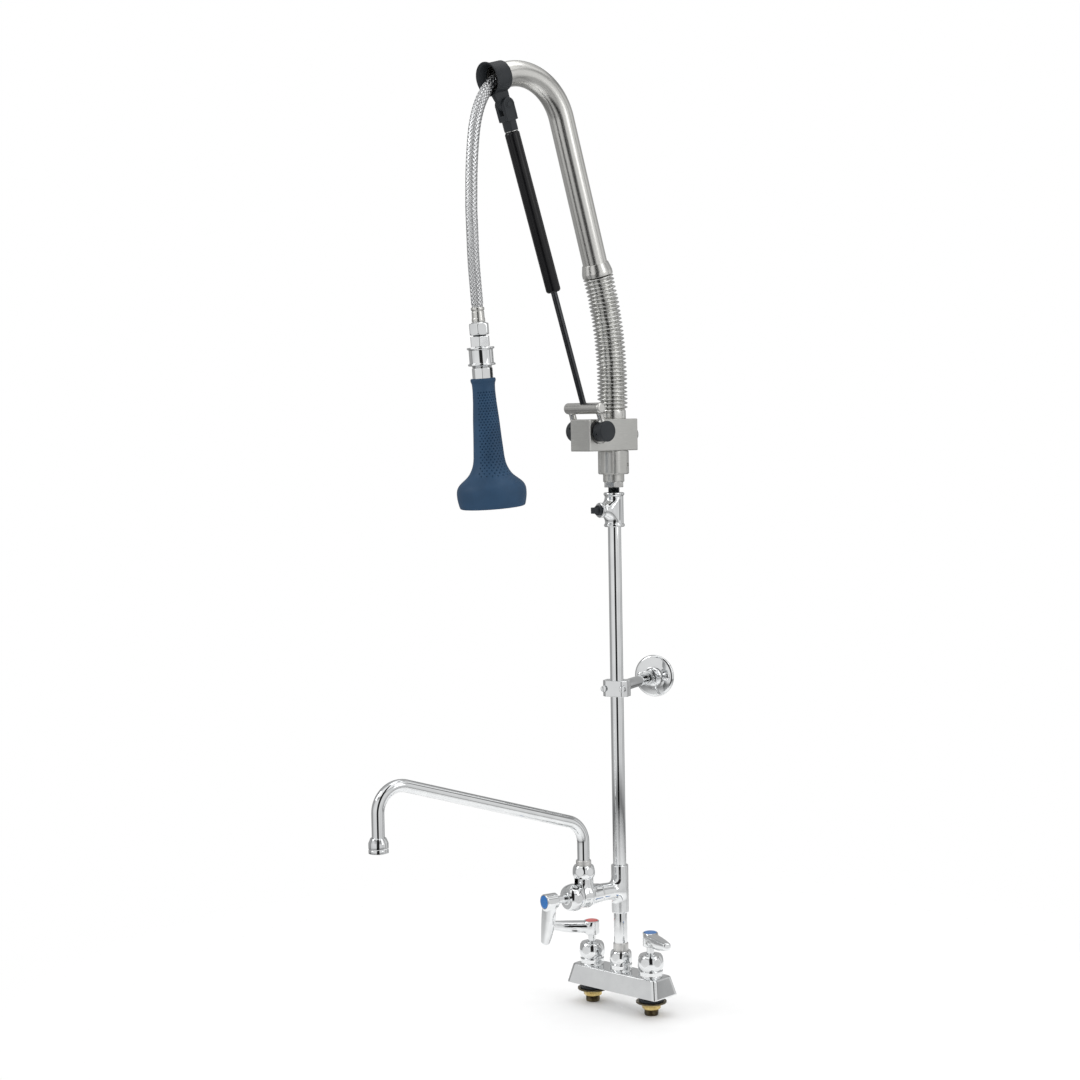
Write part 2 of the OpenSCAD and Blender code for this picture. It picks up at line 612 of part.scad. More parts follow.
// Outline of the grip: radius and distance from the top of the ferrule
grip_top = 87;
grip_outline = [[15.2, 0], [15.6, 3], [14.2, 9], [14.0, 16], [14.6, 30], [16.2, 50], [17.6, 75],
                [19.2, 98], [22, 110], [27, 119], [35, 126], [41, 132], [bell_od / 2, 140],
                [bell_od / 2 - 0.8, 150], [bell_od / 2 - 2.4, grip_length - 2],
                [bell_od / 2 - 4.5, grip_length]];
module spray_grip() color(grip_blue) along_valve() difference() {
    translate([0, 0, grip_top]) rotate_extrude()
        polygon(concat([[0, 0]], grip_outline, [[0, grip_length]]));
    translate([0, 0, grip_top - 1]) cylinder(d = 20, h = 140);
    translate([0, 0, grip_top + grip_length - 22]) cylinder(d = 70, h = 30);
    rotate([0, 0, -trigger_angle]) translate([8, -6.8, grip_top - 1]) cube([40, 13.6, 104]);
}
module spray_face() color("#2f3337") along_valve() difference() {
    union() {
        translate([0, 0, 226]) cylinder(d1 = 30, d2 = 69.8, h = 12);
        translate([0, 0, 238]) cylinder(d = 69.8, h = 5);
    }
    translate([0, 0, 225]) cylinder(d = 9, h = 14);
    for (ring = [[10, 6], [18, 12], [26, 18]]) for (i = [0:ring[1] - 1])
        rotate([0, 0, 360 * i / ring[1]]) translate([ring[0], 0, 240]) cylinder(d = 2, h = 4);
}
module trigger() color(black) trigger_frame() difference() {
    union() {
        translate([18.5, -3.4, 97]) rotate([-90, 0, 0]) cylinder(d = 8, h = 6.8);
        translate([0, -3.4, 0]) rotate([-90, 0, 0]) linear_extrude(6.8)
            polygon([[16, -95], [22, -94], [26, -120], [29.5, -160], [34, -186], [29, -187],
                     [24.5, -160], [21, -130], [16, -100]]);
        translate([0, -6, 0]) rotate([-90, 0, 0]) linear_extrude(12)
            polygon([[26.6, -128], [29.8, -160], [34, -186], [31, -187], [26.8, -160], [23.6, -128]]);
    }
    translate([18.5, -10, 97]) rotate([-90, 0, 0]) cylinder(d = 4.1, h = 20);
}
module trigger_pin() color(steel) trigger_frame() translate([18.5, -6.6, 97]) rotate([-90, 0, 0])
    cylinder(d = 4, h = 13.2);
module valve_stem() color(steel) trigger_frame() translate([0, 0, 131]) rotate([0, 90, 0])
    cylinder(d = 4, h = 20.2);

// ---------- swing nozzle ----------
nozzle_rise = 17.1;
nozzle_corner_z = 224;
nozzle_r1 = 32;
nozzle_r2 = 30;
nozzle_far_z = nozzle_corner_z + nozzle_reach * tan(nozzle_rise);
nozzle_t1 = nozzle_r1 * tan((90 - nozzle_rise) / 2);
nozzle_t2 = nozzle_r2 * tan((90 + nozzle_rise) / 2);
arm_run = nozzle_reach / cos(nozzle_rise) - nozzle_t1 - nozzle_t2;
aerator_top = 245;
nozzle_id = nozzle_od - 2.4;
module nozzle_bar(d, extra) {
    run(d, 156 - extra, nozzle_corner_z - nozzle_t1, 0, lap);
    bend([nozzle_r1, nozzle_corner_z - nozzle_t1], nozzle_r1, 0, 90 - nozzle_rise, d);
    translate([0, 0, nozzle_corner_z]) rotate([90 - nozzle_rise, 0, 0])
        run(d, nozzle_t1, nozzle_t1 + arm_run);
    bend([nozzle_reach - nozzle_r2, nozzle_far_z - nozzle_t2], nozzle_r2, 90 - nozzle_rise,
         90 + nozzle_rise, d);
    translate([0, -nozzle_reach, 0]) run(d, aerator_top - 4 - extra, nozzle_far_z - nozzle_t2, 0, lap);
}
module swing_nozzle() color(chrome) at_nozzle() difference() {
    union() {
        translate([0, 0, 143]) cylinder(d = 15.9, h = 12.5);
        translate([0, 0, 155]) cylinder(d = 19.8, h = 23);
        nozzle_bar(nozzle_od - proud, 0);
    }
    translate([0, 0, 142]) cylinder(d = nozzle_id, h = 16);
    nozzle_bar(nozzle_id, 1);
}
module at_outlet() at_nozzle() translate([0, -nozzle_reach, 0]) children();
module aerator_shell() color(chrome) at_outlet() difference() {
    union() {
        translate([0, 0, 226]) cylinder(d = 24.6, h = 13);
        translate([0, 0, 239]) cylinder(d1 = 24.6, d2 = 19, h = 6.5);
    }
    translate([0, 0, 225]) cylinder(d = 20, h = 14);
    translate([0, 0, 225]) cylinder(d = nozzle_od, h = 30);
}
module aerator_insert() color(steel) at_outlet() translate([0, 0, 227]) difference() {
    cylinder(d = 20, h = 9);
    for (a = [0:45:315]) rotate([0, 0, a]) translate([6, 0, -1]) cylinder(d = 2.4, h = 11);
}

deck_base();
inlet_shanks();
shank_washers();
shank_locknuts();
valve_cartridges();
valve_bonnets();
swivel_nuts();
lower_nipple();
addon_body();
riser_pipe();
tee();
tee_plug();
top_nipple();
riser_clamp();
clamp_screws();
bracket_rod();
bracket_nuts();
wall_flange();
flange_screws();
hub_spigot();
hot_stem();
hot_handle();
hot_index();
cold_stem();
cold_handle();
cold_index();
addon_stem();
addon_handle();
addon_index();
swing_nozzle();
aerator_shell();
aerator_insert();
swivel_hub();
hinge_block();
block_bolt();
lower_collar();
bellows();
inner_hose_flex();
top_collar();
gooseneck_tube();
mouth_ring();
inner_hose();
hinge_pin();
hinge_knobs();
bail();
strut_rod();
strut_cylinder();
clevis_fork();
clevis_pin();
hose_free();
hose_ferrule();
hose_nut();
hex_adaptor();
swivel_sleeve();
valve_body();
spray_grip();
spray_face();
trigger();
trigger_pin();
valve_stem();
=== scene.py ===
"""Pre rinse faucet: the visual model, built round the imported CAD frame. The builders work in millimetres."""
import json
import math

import bpy
import numpy as np
from mathutils import Matrix, Vector


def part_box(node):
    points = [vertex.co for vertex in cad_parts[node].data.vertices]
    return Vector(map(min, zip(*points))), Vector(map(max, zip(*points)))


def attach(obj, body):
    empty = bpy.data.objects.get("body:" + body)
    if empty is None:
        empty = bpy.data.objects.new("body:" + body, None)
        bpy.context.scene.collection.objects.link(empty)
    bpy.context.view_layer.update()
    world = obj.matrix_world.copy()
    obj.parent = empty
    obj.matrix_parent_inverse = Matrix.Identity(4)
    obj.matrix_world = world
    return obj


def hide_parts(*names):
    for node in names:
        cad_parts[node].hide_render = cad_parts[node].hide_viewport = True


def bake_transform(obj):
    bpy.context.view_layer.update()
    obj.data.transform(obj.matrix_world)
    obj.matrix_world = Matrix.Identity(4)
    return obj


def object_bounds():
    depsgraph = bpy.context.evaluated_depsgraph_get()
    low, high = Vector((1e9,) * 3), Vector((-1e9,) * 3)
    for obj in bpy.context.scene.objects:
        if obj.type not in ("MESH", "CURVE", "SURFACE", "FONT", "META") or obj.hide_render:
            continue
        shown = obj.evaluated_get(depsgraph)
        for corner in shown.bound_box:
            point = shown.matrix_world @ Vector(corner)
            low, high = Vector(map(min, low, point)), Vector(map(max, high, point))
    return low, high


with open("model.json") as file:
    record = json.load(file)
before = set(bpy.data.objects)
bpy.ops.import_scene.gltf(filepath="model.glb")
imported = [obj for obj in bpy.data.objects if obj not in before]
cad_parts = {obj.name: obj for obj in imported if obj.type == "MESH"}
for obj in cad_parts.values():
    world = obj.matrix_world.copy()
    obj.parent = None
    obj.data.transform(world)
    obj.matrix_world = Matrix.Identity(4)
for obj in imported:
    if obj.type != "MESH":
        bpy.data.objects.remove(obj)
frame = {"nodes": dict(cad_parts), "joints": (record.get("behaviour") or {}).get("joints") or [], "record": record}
cad_box = [list(corner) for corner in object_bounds()]
JOINTS = {j["name"]: j for j in frame["joints"]}
MOUNTS = {m["name"]: m for m in frame["record"]["mounts"]}


# ---------- frames, as 4x4 matrices in millimetres ----------
def shift(x=0.0, y=0.0, z=0.0):
    m = np.eye(4)
    m[:3, 3] = (x, y, z)
    return m


def turn(axis, degrees):
    return np.array(Matrix.Rotation(math.radians(degrees), 4, axis.upper()), float)


def place(points, at):
    return np.asarray(points, float) @ at[:3, :3].T + at[:3, 3]


def joint_point(name):
    return np.array(JOINTS[name]["pos_m"], float) * 1000


def joint_axis(name):
    return np.array(JOINTS[name]["axis"], float)


def into(at, point):
    return place([point], np.linalg.inv(at))[0]


tilt_axis = joint_axis("neck_tilt")
NECK = turn("z", math.degrees(math.atan2(tilt_axis[1], tilt_axis[0])))
BEND_Z = joint_point("neck_tilt")[2]
hinge_at = into(NECK, joint_point("bail_turn"))
HINGE = NECK @ shift(*hinge_at)
STRUT = HINGE @ turn("x", math.degrees(math.acos(joint_axis("strut_slide")[2])))
NECK_LEAN = 16.2
ALONG_NECK = NECK @ shift(0, 0, BEND_Z) @ turn("x", NECK_LEAN)
MOUTH = (196.5, 1164.5)
MOUTH_SLOPE = 15.6
ALONG_MOUTH = NECK @ shift(0, -MOUTH[0], MOUTH[1]) @ turn("x", 90 + MOUTH_SLOPE)
# The spray valve's frame: +Z down its axis from the ferrule's top, +X towards the trigger
valve_z = -joint_axis("valve_swivel")
valve_x = -joint_axis("stem_push")
VALVE = np.eye(4)
VALVE[:3, 0], VALVE[:3, 1], VALVE[:3, 2] = valve_x, np.cross(valve_z, valve_x), valve_z
VALVE[:3, 3] = joint_point("valve_swivel") - 50 * valve_z
forward = joint_axis("addon_turn")
ADDON = turn("z", math.degrees(math.atan2(forward[0], -forward[1])))
ADDON_Z = joint_point("addon_turn")[2]
ALONG_ADDON = ADDON @ shift(0, 0, ADDON_Z) @ turn("x", 90)
NOZZLE = ADDON @ shift(0, -np.linalg.norm(joint_point("nozzle_swing")[:2]), 0)
OUTLET = NOZZLE @ shift(0, -300, 0)
wall_axis = MOUNTS["wall_face"]["axis"]
wall_at = np.array(MOUNTS["wall_face"]["pos_m"], float) * 1000
WALL = float(np.linalg.norm(wall_at[:2]))
BRACKET = (turn("z", math.degrees(math.atan2(-wall_axis[0], wall_axis[1])))
           @ shift(0, 0, wall_at[2]) @ turn("x", -90))
VALVES = {side: shift(joint_point(f"{side}_turn")[0], 0, 0) for side in ("hot", "cold")}


# ---------- meshes ----------
def rounded(points, radius, closed=False, steps=3):
    """The outline with its corners eased by small curves."""
    pts = [np.array(p, float) for p in points]
    n, out = len(pts), []
    for i, p in enumerate(pts):
        if not closed and i in (0, n - 1):
            out.append(p)
            continue
        a, b = pts[i - 1], pts[(i + 1) % n]
        la, lb = np.linalg.norm(a - p), np.linalg.norm(b - p)
        cut = min(radius, 0.45 * la, 0.45 * lb)
        s, e = p + (a - p) / la * cut, p + (b - p) / lb * cut
        for t in np.linspace(0, 1, steps + 1):
            out.append((1 - t) ** 2 * s + 2 * t * (1 - t) * p + t * t * e)
    return out


def grid(rows, ring=True, loop=False):
    """Faces and UVs over rows of points. ring closes each row, loop joins the last row to the first."""
    rows = [np.asarray(r, float) for r in rows]
    n, m = len(rows), len(rows[0])
    verts = np.vstack(rows)
    steps = [np.linalg.norm(rows[i + 1][0] - rows[i][0]) for i in range(n - 1)]
    run = np.concatenate([[0], np.cumsum(steps)])
    i, j = np.meshgrid(np.arange(n if loop else n - 1), np.arange(m if ring else m - 1), indexing="ij")
    i, j = i.ravel(), j.ravel()
    i2, j2 = (i + 1) % n, (j + 1) % m
    quads = np.stack([i * m + j, i * m + j2, i2 * m + j2, i2 * m + j], 1)
    v0, v1, u0, u1 = run[i], np.append(run, run[-1])[i + 1], j / m, (j + 1) / m
    uv = np.stack([np.stack(corner, 1) for corner in ((u0, v0), (u1, v0), (u1, v1), (u0, v1))], 1)
    return verts, [quads], [uv]


def caps(shell, m):
    """Closes both ends of an open grid of rings of m points."""
    verts, faces, uvs = shell
    ends = [np.arange(m)[::-1][None, :], (len(verts) - m + np.arange(m))[None, :]]
    return verts, faces + ends, uvs + [np.zeros((1, m, 2))] * 2


def angles(sides):
    return 2 * math.pi * np.arange(sides) / sides


def facet(a, count):
    """The angle from the middle of the nearest of count flats."""
    step = 2 * math.pi / count
    return (a + step / 2) % step - step / 2


def circle(r, z, sides):
    a = angles(sides)
    return np.stack([r * np.cos(a), r * np.sin(a), np.full(sides, float(z))], 1)


def lathe(profile, sides=96, ease=0.35):
    """A turned solid: profile holds (radius, height). It is a ring unless it starts and ends on the axis."""
    on_axis = profile[0][0] == 0
    rows = [circle(r, z, sides) for r, z in rounded(profile, ease, not on_axis)]
    return caps(grid(rows[1:-1]), sides) if on_axis else grid(rows, loop=True)


def polar(radius, zs, sides=96, bore=0.0):
    """A solid whose outer radius is a function of the angle and height, with a plain bore."""
    a = angles(sides)
    rows = []
    for z in zs:
        r = radius(a, z)
        rows.append(np.stack([r * np.cos(a), r * np.sin(a), np.full(sides, float(z))], 1))
    if bore:
        return grid(rows + [circle(bore, zs[-1], sides), circle(bore, zs[0], sides)], loop=True)
    return caps(grid(rows), sides)


def rings_along(path, sides):
    """Unit rings across each point of a path that stays in the YZ plane."""
    heading = np.gradient(path, axis=0)
    heading /= np.linalg.norm(heading, axis=1)[:, None]
    a = angles(sides)[:, None]
    return [np.cos(a) * (1, 0, 0) + np.sin(a) * np.cross(h, (1, 0, 0)) for h in heading]


def sweep(path, radius, sides=48, bore=0.0):
    """A rod or tube along a path in the YZ plane."""
    path = np.asarray(path, float)
    rings = rings_along(path, sides)
    rows = [p + radius * ring for p, ring in zip(path, rings)]
    if bore:
        return grid(rows + [p + bore * ring for p, ring in zip(path[::-1], rings[::-1])], loop=True)
    return caps(grid(rows), sides)


def bent(points, radius, step=3.0):
    """A path through points whose corners are arcs of the given radius."""
    pts = [np.array(p, float) for p in points]
    out = [pts[0]]
    for a, p, b in zip(pts, pts[1:], pts[2:]):
        da, db = (a - p) / np.linalg.norm(a - p), (b - p) / np.linalg.norm(b - p)
        half = math.acos(np.clip(da @ db, -1, 1)) / 2
        reach = radius / math.tan(half)
        mid = (da + db) / np.linalg.norm(da + db)
        centre = p + mid * radius / math.sin(half)
        s, e = p + da * reach - centre, p + db * reach - centre
        total = math.pi - 2 * half
        count = max(6, int(total * radius / step))
        for t in np.linspace(0, 1, count + 1):
            out.append(centre + (math.sin((1 - t) * total) * s + math.sin(t * total) * e) / math.sin(total))
    out.append(pts[-1])
    return dense(out, step * 3)


def dense(points, step):
    out = [points[0]]
    for a, b in zip(points, points[1:]):
        n = max(1, int(np.linalg.norm(b - a) / step))
        out += [a + (b - a) * k / n for k in range(1, n + 1)]
    return np.array(out)


def smooth_path(points, spacing):
    """A Catmull-Rom curve through the points, at even spacing."""
    p = np.array(points, float)
    p = np.vstack([2 * p[0] - p[1], p, 2 * p[-1] - p[-2]])
    fine = []
    for i in range(1, len(p) - 2):
        t = np.linspace(0, 1, 40, endpoint=False)[:, None]
        a, b, c, d = p[i - 1:i + 3]
        fine.append(0.5 * (2 * b + (c - a) * t + (2 * a - 5 * b + 4 * c - d) * t ** 2
                           + (3 * b - a - 3 * c + d) * t ** 3))
    fine = np.vstack(fine + [p[-2:-1]])
    run = np.concatenate([[0], np.cumsum(np.linalg.norm(np.diff(fine, axis=0), axis=1))])
    at = np.linspace(0, run[-1], max(2, int(round(run[-1] / spacing)) + 1))
    return np.stack([np.interp(at, run, fine[:, k]) for k in range(3)], 1)


# ---------- shapes as distance fields, meshed and drawn onto their surface ----------
def smin(a, b, k):
    h = np.clip(0.5 + 0.5 * (b - a) / k, 0, 1)
    return b + (a - b) * h - k * h * (1 - h)


def smax(a, b, k):
    return -smin(-a, -b, k)


def rod(p, a, b, ra, rb=None, edge=0.5):
    """Distance to a capped cylinder or cone from a to b."""
    a, b = np.array(a, float), np.array(b, float)
    rb = ra if rb is None else rb
    h = np.linalg.norm(b - a)
    axis = (b - a) / h
    q = p - a
    t = q @ axis
    side = np.linalg.norm(q - t[:, None] * axis, axis=1)
    slope = (rb - ra) / h
    dx = (side - (ra + slope * np.clip(t, 0, h))) / math.hypot(1, slope) + edge
    dz = np.abs(t - h / 2) - h / 2 + edge
    return np.minimum(np.maximum(dx, dz), 0) + np.hypot(np.maximum(dx, 0), np.maximum(dz, 0)) - edge


def block(p, centre, half, edge=0.5):
    q = np.abs(p - np.array(centre, float)) - np.array(half, float) + edge
    return np.minimum(q.max(1), 0) + np.linalg.norm(np.maximum(q, 0), axis=1) - edge


def drill(d, p, a, b, r, ease=0.3):
    """Takes a round hole from a to b out of the shape d."""
    return smax(d, -rod(p, a, b, r, edge=0.1), ease)


def hexagon(p, flat):
    a = np.arctan2(p[:, 1], p[:, 0])
    return np.hypot(p[:, 0], p[:, 1]) * np.cos(facet(a, 6)) - flat


def ball(p, centre, r):
    return np.linalg.norm(p - np.array(centre, float), axis=1) - r


def nets(shape, low, high, cell):
    """Quads on the surface where shape(points) is zero, then drawn exactly onto it."""
    low = np.array(low, float) - 1.6 * cell
    n = np.ceil((np.array(high, float) - low) / cell).astype(int) + 3
    axes = [low[k] + cell * np.arange(n[k]) for k in range(3)]
    field = np.empty(tuple(n))
    for i, x in enumerate(axes[0]):
        y, z = np.meshgrid(axes[1], axes[2], indexing="ij")
        field[i] = shape(np.stack([np.full(y.size, x), y.ravel(), z.ravel()], 1)).reshape(y.shape)
    inside = field < 0
    total, count = np.zeros(tuple(n - 1) + (3,)), np.zeros(tuple(n - 1))
    corners = [(i, j, k) for i in (0, 1) for j in (0, 1) for k in (0, 1)]
    at = {c: field[tuple(slice(o, n[d] - 1 + o) for d, o in enumerate(c))] for c in corners}
    for c in corners:
        for d in range(3):
            if c[d]:
                continue
            e = tuple(1 if k == d else c[k] for k in range(3))
            cross = (at[c] < 0) != (at[e] < 0)
            t = np.where(cross, at[c] / np.where(cross, at[c] - at[e], 1), 0)
            for k in range(3):
                total[..., k] += np.where(cross, c[k] + (t if k == d else 0), 0)
            count += cross
    used = count > 0
    index = np.full(used.shape, -1)
    index[used] = np.arange(used.sum())
    verts = low + cell * (np.argwhere(used) + total[used] / count[used][:, None])
    quads = []
    for d in range(3):
        e, f = (d + 1) % 3, (d + 2) % 3
        s = np.moveaxis(inside, (d, e, f), (0, 1, 2))
        idx = np.moveaxis(index, (d, e, f), (0, 1, 2))
        cross = s[:-1, 1:-1, 1:-1] != s[1:, 1:-1, 1:-1]
        i, j, k = np.nonzero(cross)
        j, k = j + 1, k + 1
        q = np.stack([idx[i, j - 1, k - 1], idx[i, j, k - 1], idx[i, j, k], idx[i, j - 1, k]], 1)
        outward = s[i, j, k]
        quads.append(np.where(outward[:, None], q, q[:, ::-1]))
    for _ in range(5):
        d = shape(verts)
        h = 0.05 * cell
        g = np.stack([(shape(verts + h * e) - shape(verts - h * e)) / (2 * h) for e in np.eye(3)], 1)
        size = np.maximum((g * g).sum(1), 0.2)
        verts = verts - (np.clip(d, -cell / 2, cell / 2) / size)[:, None] * g
    quads = np.vstack(quads)
    return verts, [quads], [np.zeros((len(quads), 4, 2))]


def moved(shell, at):
    """The shell in another frame; a mirrored frame turns its faces over."""
    verts, faces, uvs = shell
    if np.linalg.det(at[:3, :3]) < 0:
        faces = [f[:, ::-1] for f in faces]
        uvs = [u[:, ::-1] for u in uvs]
    return place(verts, at), faces, uvs


def build(name, shells, material, body, nodes=(), at=np.eye(4), sharp=35):
    """One object, in metres, that rides on its body and stands for its CAD nodes."""
    verts, loops, sizes, uv, base = [], [], [], [], 0
    for shell in shells:
        v, faces, uvs = moved(shell, at)
        verts.append(v)
        for f, u in zip(faces, uvs):
            loops.append((f + base).ravel())
            sizes.append(np.full(len(f), f.shape[1]))
            uv.append(u.reshape(-1, 2))
        base += len(v)
    verts, uv = np.vstack(verts) * 0.001, np.vstack(uv)
    loops, sizes = np.concatenate(loops), np.concatenate(sizes)
    mesh = bpy.data.meshes.new(name)
    mesh.vertices.add(len(verts))
    mesh.vertices.foreach_set("co", verts.astype(np.float32).ravel())
    mesh.loops.add(len(loops))
    mesh.loops.foreach_set("vertex_index", loops.astype(np.int32))
    mesh.polygons.add(len(sizes))
    mesh.polygons.foreach_set("loop_start", np.concatenate([[0], np.cumsum(sizes)[:-1]]).astype(np.int32))
    mesh.polygons.foreach_set("loop_total", sizes.astype(np.int32))
    layer = mesh.uv_layers.new(name="UVMap")
    layer.data.foreach_set("uv", (uv * (1, 0.001)).astype(np.float32).ravel())
    mesh.update(calc_edges=True)
    mesh.validate()
    mesh.shade_smooth()
    mesh.set_sharp_from_angle(angle=math.radians(sharp))
    mesh.materials.append(material)
    o = bpy.data.objects.new(name, mesh)
    bpy.context.scene.collection.objects.link(o)
    if body:
        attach(o, body)
    if nodes:
        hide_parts(*nodes)
    return o


# ---------- materials ----------
class Nodes:
    """A small helper for shader node trees."""

    def __init__(self, name):
        self.material = bpy.data.materials.new(name)
        self.material.use_nodes = True
        self.tree = self.material.node_tree
        self.shader = self.tree.nodes["Principled BSDF"]

    def add(self, kind, **inputs):
        node = self.tree.nodes.new(kind)
        for key, value in inputs.items():
            if key.startswith("_"):
                setattr(node, key[1:], value)
                continue
            socket = node.inputs[int(key[1:])] if key[0] == "i" and key[1:].isdigit() else node.inputs[key]
            if isinstance(value, bpy.types.NodeSocket):
                self.tree.links.new(value, socket)
            else:
                socket.default_value = value
        return node

    def math(self, op, a, b=0.0, c=0.0):
        return self.add("ShaderNodeMath", _operation=op, i0=a, i1=b, i2=c).outputs[0]

    def glow(self, output):
        """Puts another shader than the material's own on its surface."""
        self.tree.links.new(output, self.tree.nodes["Material Output"].inputs["Surface"])
        return self.material

    def coords(self, what="Object", scale=(1, 1, 1)):
        source = self.add("ShaderNodeTexCoord").outputs[what]
        return self.add("ShaderNodeMapping", Vector=source, Scale=scale).outputs[0]

    def noise(self, vector, scale, detail=3.0, rough=0.5):
        node = self.add("ShaderNodeTexNoise", Vector=vector, Scale=scale, Detail=detail, Roughness=rough)
        return node.outputs["Fac"]

    def ramp(self, fac, *stops):
        node = self.add("ShaderNodeValToRGB", Fac=fac)
        ramp = node.color_ramp
        while len(ramp.elements) < len(stops):
            ramp.elements.new(0.5)
        for element, (at, colour) in zip(ramp.elements, stops):
            element.position = at
            element.color = (*colour, 1) if len(colour) == 3 else colour
        return node.outputs["Color"]

    def range(self, value, low, high, to_low, to_high):
        return self.add("ShaderNodeMapRange", i0=value, i1=low, i2=high, i3=to_low, i4=to_high).outputs[0]

    def bump(self, height, strength, distance):
        return self.add("ShaderNodeBump", Height=height, Strength=strength, Distance=distance).outputs[0]

    def set(self, **inputs):
        names = {"colour": "Base Color", "metal": "Metallic", "rough": "Roughness", "normal": "Normal",
                 "coat": "Coat Weight", "specular": "Specular IOR Level"}
        for key, value in inputs.items():
            socket = self.shader.inputs[names[key]]
            if isinstance(value, bpy.types.NodeSocket):
                self.tree.links.new(value, socket)
            else:
                socket.default_value = value
        return self.material


def grey(v, tint=(1.0, 1.0, 1.0)):
    return tuple(v * t for t in tint)


def plated(name, light, dark, rough=(0.03, 0.08), wave=0.04):
    """Mirror plate: faint polishing waves and slight haze."""
    n = Nodes(name)
    where = n.coords()
    haze = n.noise(where, 55, 4)
    colour = n.ramp(haze, (0.3, dark), (0.65, light))
    swirl = n.noise(where, 38, 2)
    return n.set(colour=colour, metal=1.0, rough=n.range(haze, 0.35, 0.7, *rough),
                 normal=n.bump(swirl, wave, 0.0006))


def grained(name, light, dark, rough, scale, strength=0.12, what="Object"):
    """Brushed or satin metal: grain drawn out along one direction."""
    n = Nodes(name)
    streaks = n.noise(n.coords(what, scale), 1.0, 6, 0.65)
    cloud = n.noise(n.coords(), 22, 3)
    mixed = n.math("MULTIPLY_ADD", streaks, 0.65, n.math("MULTIPLY", cloud, 0.35))
    colour = n.ramp(mixed, (0.32, dark), (0.68, light))
    return n.set(colour=colour, metal=1.0, rough=n.range(mixed, 0.3, 0.7, *rough),
                 normal=n.bump(streaks, strength, 0.0002))


def speckled(name, colour, deep, rough, grain, strength=0.15, metal=0.0, coat=0.0, specular=0.5):
    """Moulded plastic or rubber: fine grain and slight unevenness of colour."""
    n = Nodes(name)
    fine = n.noise(n.coords(), grain, 4)
    broad = n.noise(n.coords(), 30, 2)
    return n.set(colour=n.ramp(broad, (0.35, deep), (0.65, colour)), metal=metal,
                 rough=n.range(fine, 0.3, 0.7, *rough), coat=coat, specular=specular,
                 normal=n.bump(fine, strength, 0.0003))


def braided(strands, pitch):
    """Woven wire: strands cross over and under, each of several fine wires. Their colour is painted shade: near
    black down in the gaps between strands and darker at each wire's edges.
    """
    n = Nodes("hose_braid")
    uv = n.add("ShaderNodeSeparateXYZ", Vector=n.add("ShaderNodeTexCoord").outputs["UV"])
    around = n.math("MULTIPLY", uv.outputs[0], strands)
    along = n.math("MULTIPLY", uv.outputs[1], 1000 / pitch)
    heights, wires = [], []
    family = [n.math("ADD", around, along), n.math("SUBTRACT", around, along)]
    cell = n.math("ADD", n.math("FLOOR", family[0]), n.math("FLOOR", family[1]))
    over = n.math("LESS_THAN", n.math("FLOORED_MODULO", cell, 2.0), 0.5)
    for f in family:
        across = n.math("ABSOLUTE", n.math("SUBTRACT", n.math("FRACT", f), 0.5))
        heights.append(n.math("SUBTRACT", 1.0, n.math("POWER", n.math("MULTIPLY", across, 2.0), 4.0)))
        wire = n.math("ABSOLUTE", n.math("SUBTRACT", n.math("FRACT", n.math("MULTIPLY", f, 5.0)), 0.5))
        wires.append(n.math("SUBTRACT", 1.0, n.math("MULTIPLY", wire, wire)))

    def pick(pair):
        return n.math("ADD", n.math("MULTIPLY", pair[0], over),
                      n.math("MULTIPLY", pair[1], n.math("SUBTRACT", 1.0, over)))

    height, wire = pick(heights), pick(wires)
    relief = n.math("MULTIPLY_ADD", wire, 0.35, height)
    # painted shade: the colour falls from bright steel on the strands' crowns to near black in the gaps between
    # them and at each wire's edges
    painted_shade = n.ramp(n.math("MULTIPLY", height, n.math("MULTIPLY_ADD", wire, 0.5, 0.5)),
                   (0.2, (0.03, 0.03, 0.033)), (0.7, (0.86, 0.87, 0.88)))
    return n.set(colour=painted_shade, metal=1.0, rough=0.28, normal=n.bump(relief, 1.0, 0.0006))


def threaded(name, light, dark, rough):
    n = Nodes(name)
    grime = n.noise(n.coords(), 140, 5, 0.6)
    return n.set(colour=n.ramp(grime, (0.35, dark), (0.66, light)), metal=1.0,
                 rough=n.range(grime, 0.3, 0.7, *rough), normal=n.bump(grime, 0.2, 0.0003))


CHROME = plated("chrome", grey(0.84, (0.985, 1, 1.005)), grey(0.78, (0.985, 1, 1.01)))
MATTE = speckled("matte_ring", (0.78, 0.775, 0.76), (0.64, 0.635, 0.62), (0.36, 0.5), 900, 0.5, metal=1.0)
TUBE_STEEL = grained("tube_steel", (0.79, 0.785, 0.76), (0.66, 0.655, 0.63), (0.2, 0.3), (90, 3, 1),
                     0.004, "UV")
SATIN = grained("satin_steel", (0.68, 0.68, 0.655), (0.55, 0.55, 0.53), (0.3, 0.44), (140, 140, 1500), 0.16)
BELLOWS = grained("bellows_steel", (0.86, 0.86, 0.845), (0.7, 0.7, 0.685), (0.14, 0.24), (300, 300, 300),
                  0.05)
STRANDS, PITCH = 10, 5.0
BRAID = braided(STRANDS, PITCH)
BRASS = threaded("raw_brass", (0.74, 0.58, 0.25), (0.5, 0.36, 0.13), (0.22, 0.4))
PATINA = threaded("dark_brass", (0.2, 0.165, 0.1), (0.06, 0.05, 0.035), (0.3, 0.5))
THREAD = threaded("dark_thread", (0.12, 0.13, 0.13), (0.04, 0.045, 0.05), (0.25, 0.45))
STEM_STEEL = grained("stem_steel", (0.6, 0.6, 0.59), (0.45, 0.45, 0.44), (0.2, 0.3), (400, 400, 400))
BLACK = speckled("black_plastic", (0.026, 0.03, 0.034), (0.017, 0.02, 0.024), (0.42, 0.56), 1500,
                 specular=0.3)
STRUT_BLACK = speckled("strut_black", (0.005, 0.005, 0.006), (0.003, 0.003, 0.004), (0.2, 0.3), 500, 0.03,
                       specular=0.35)
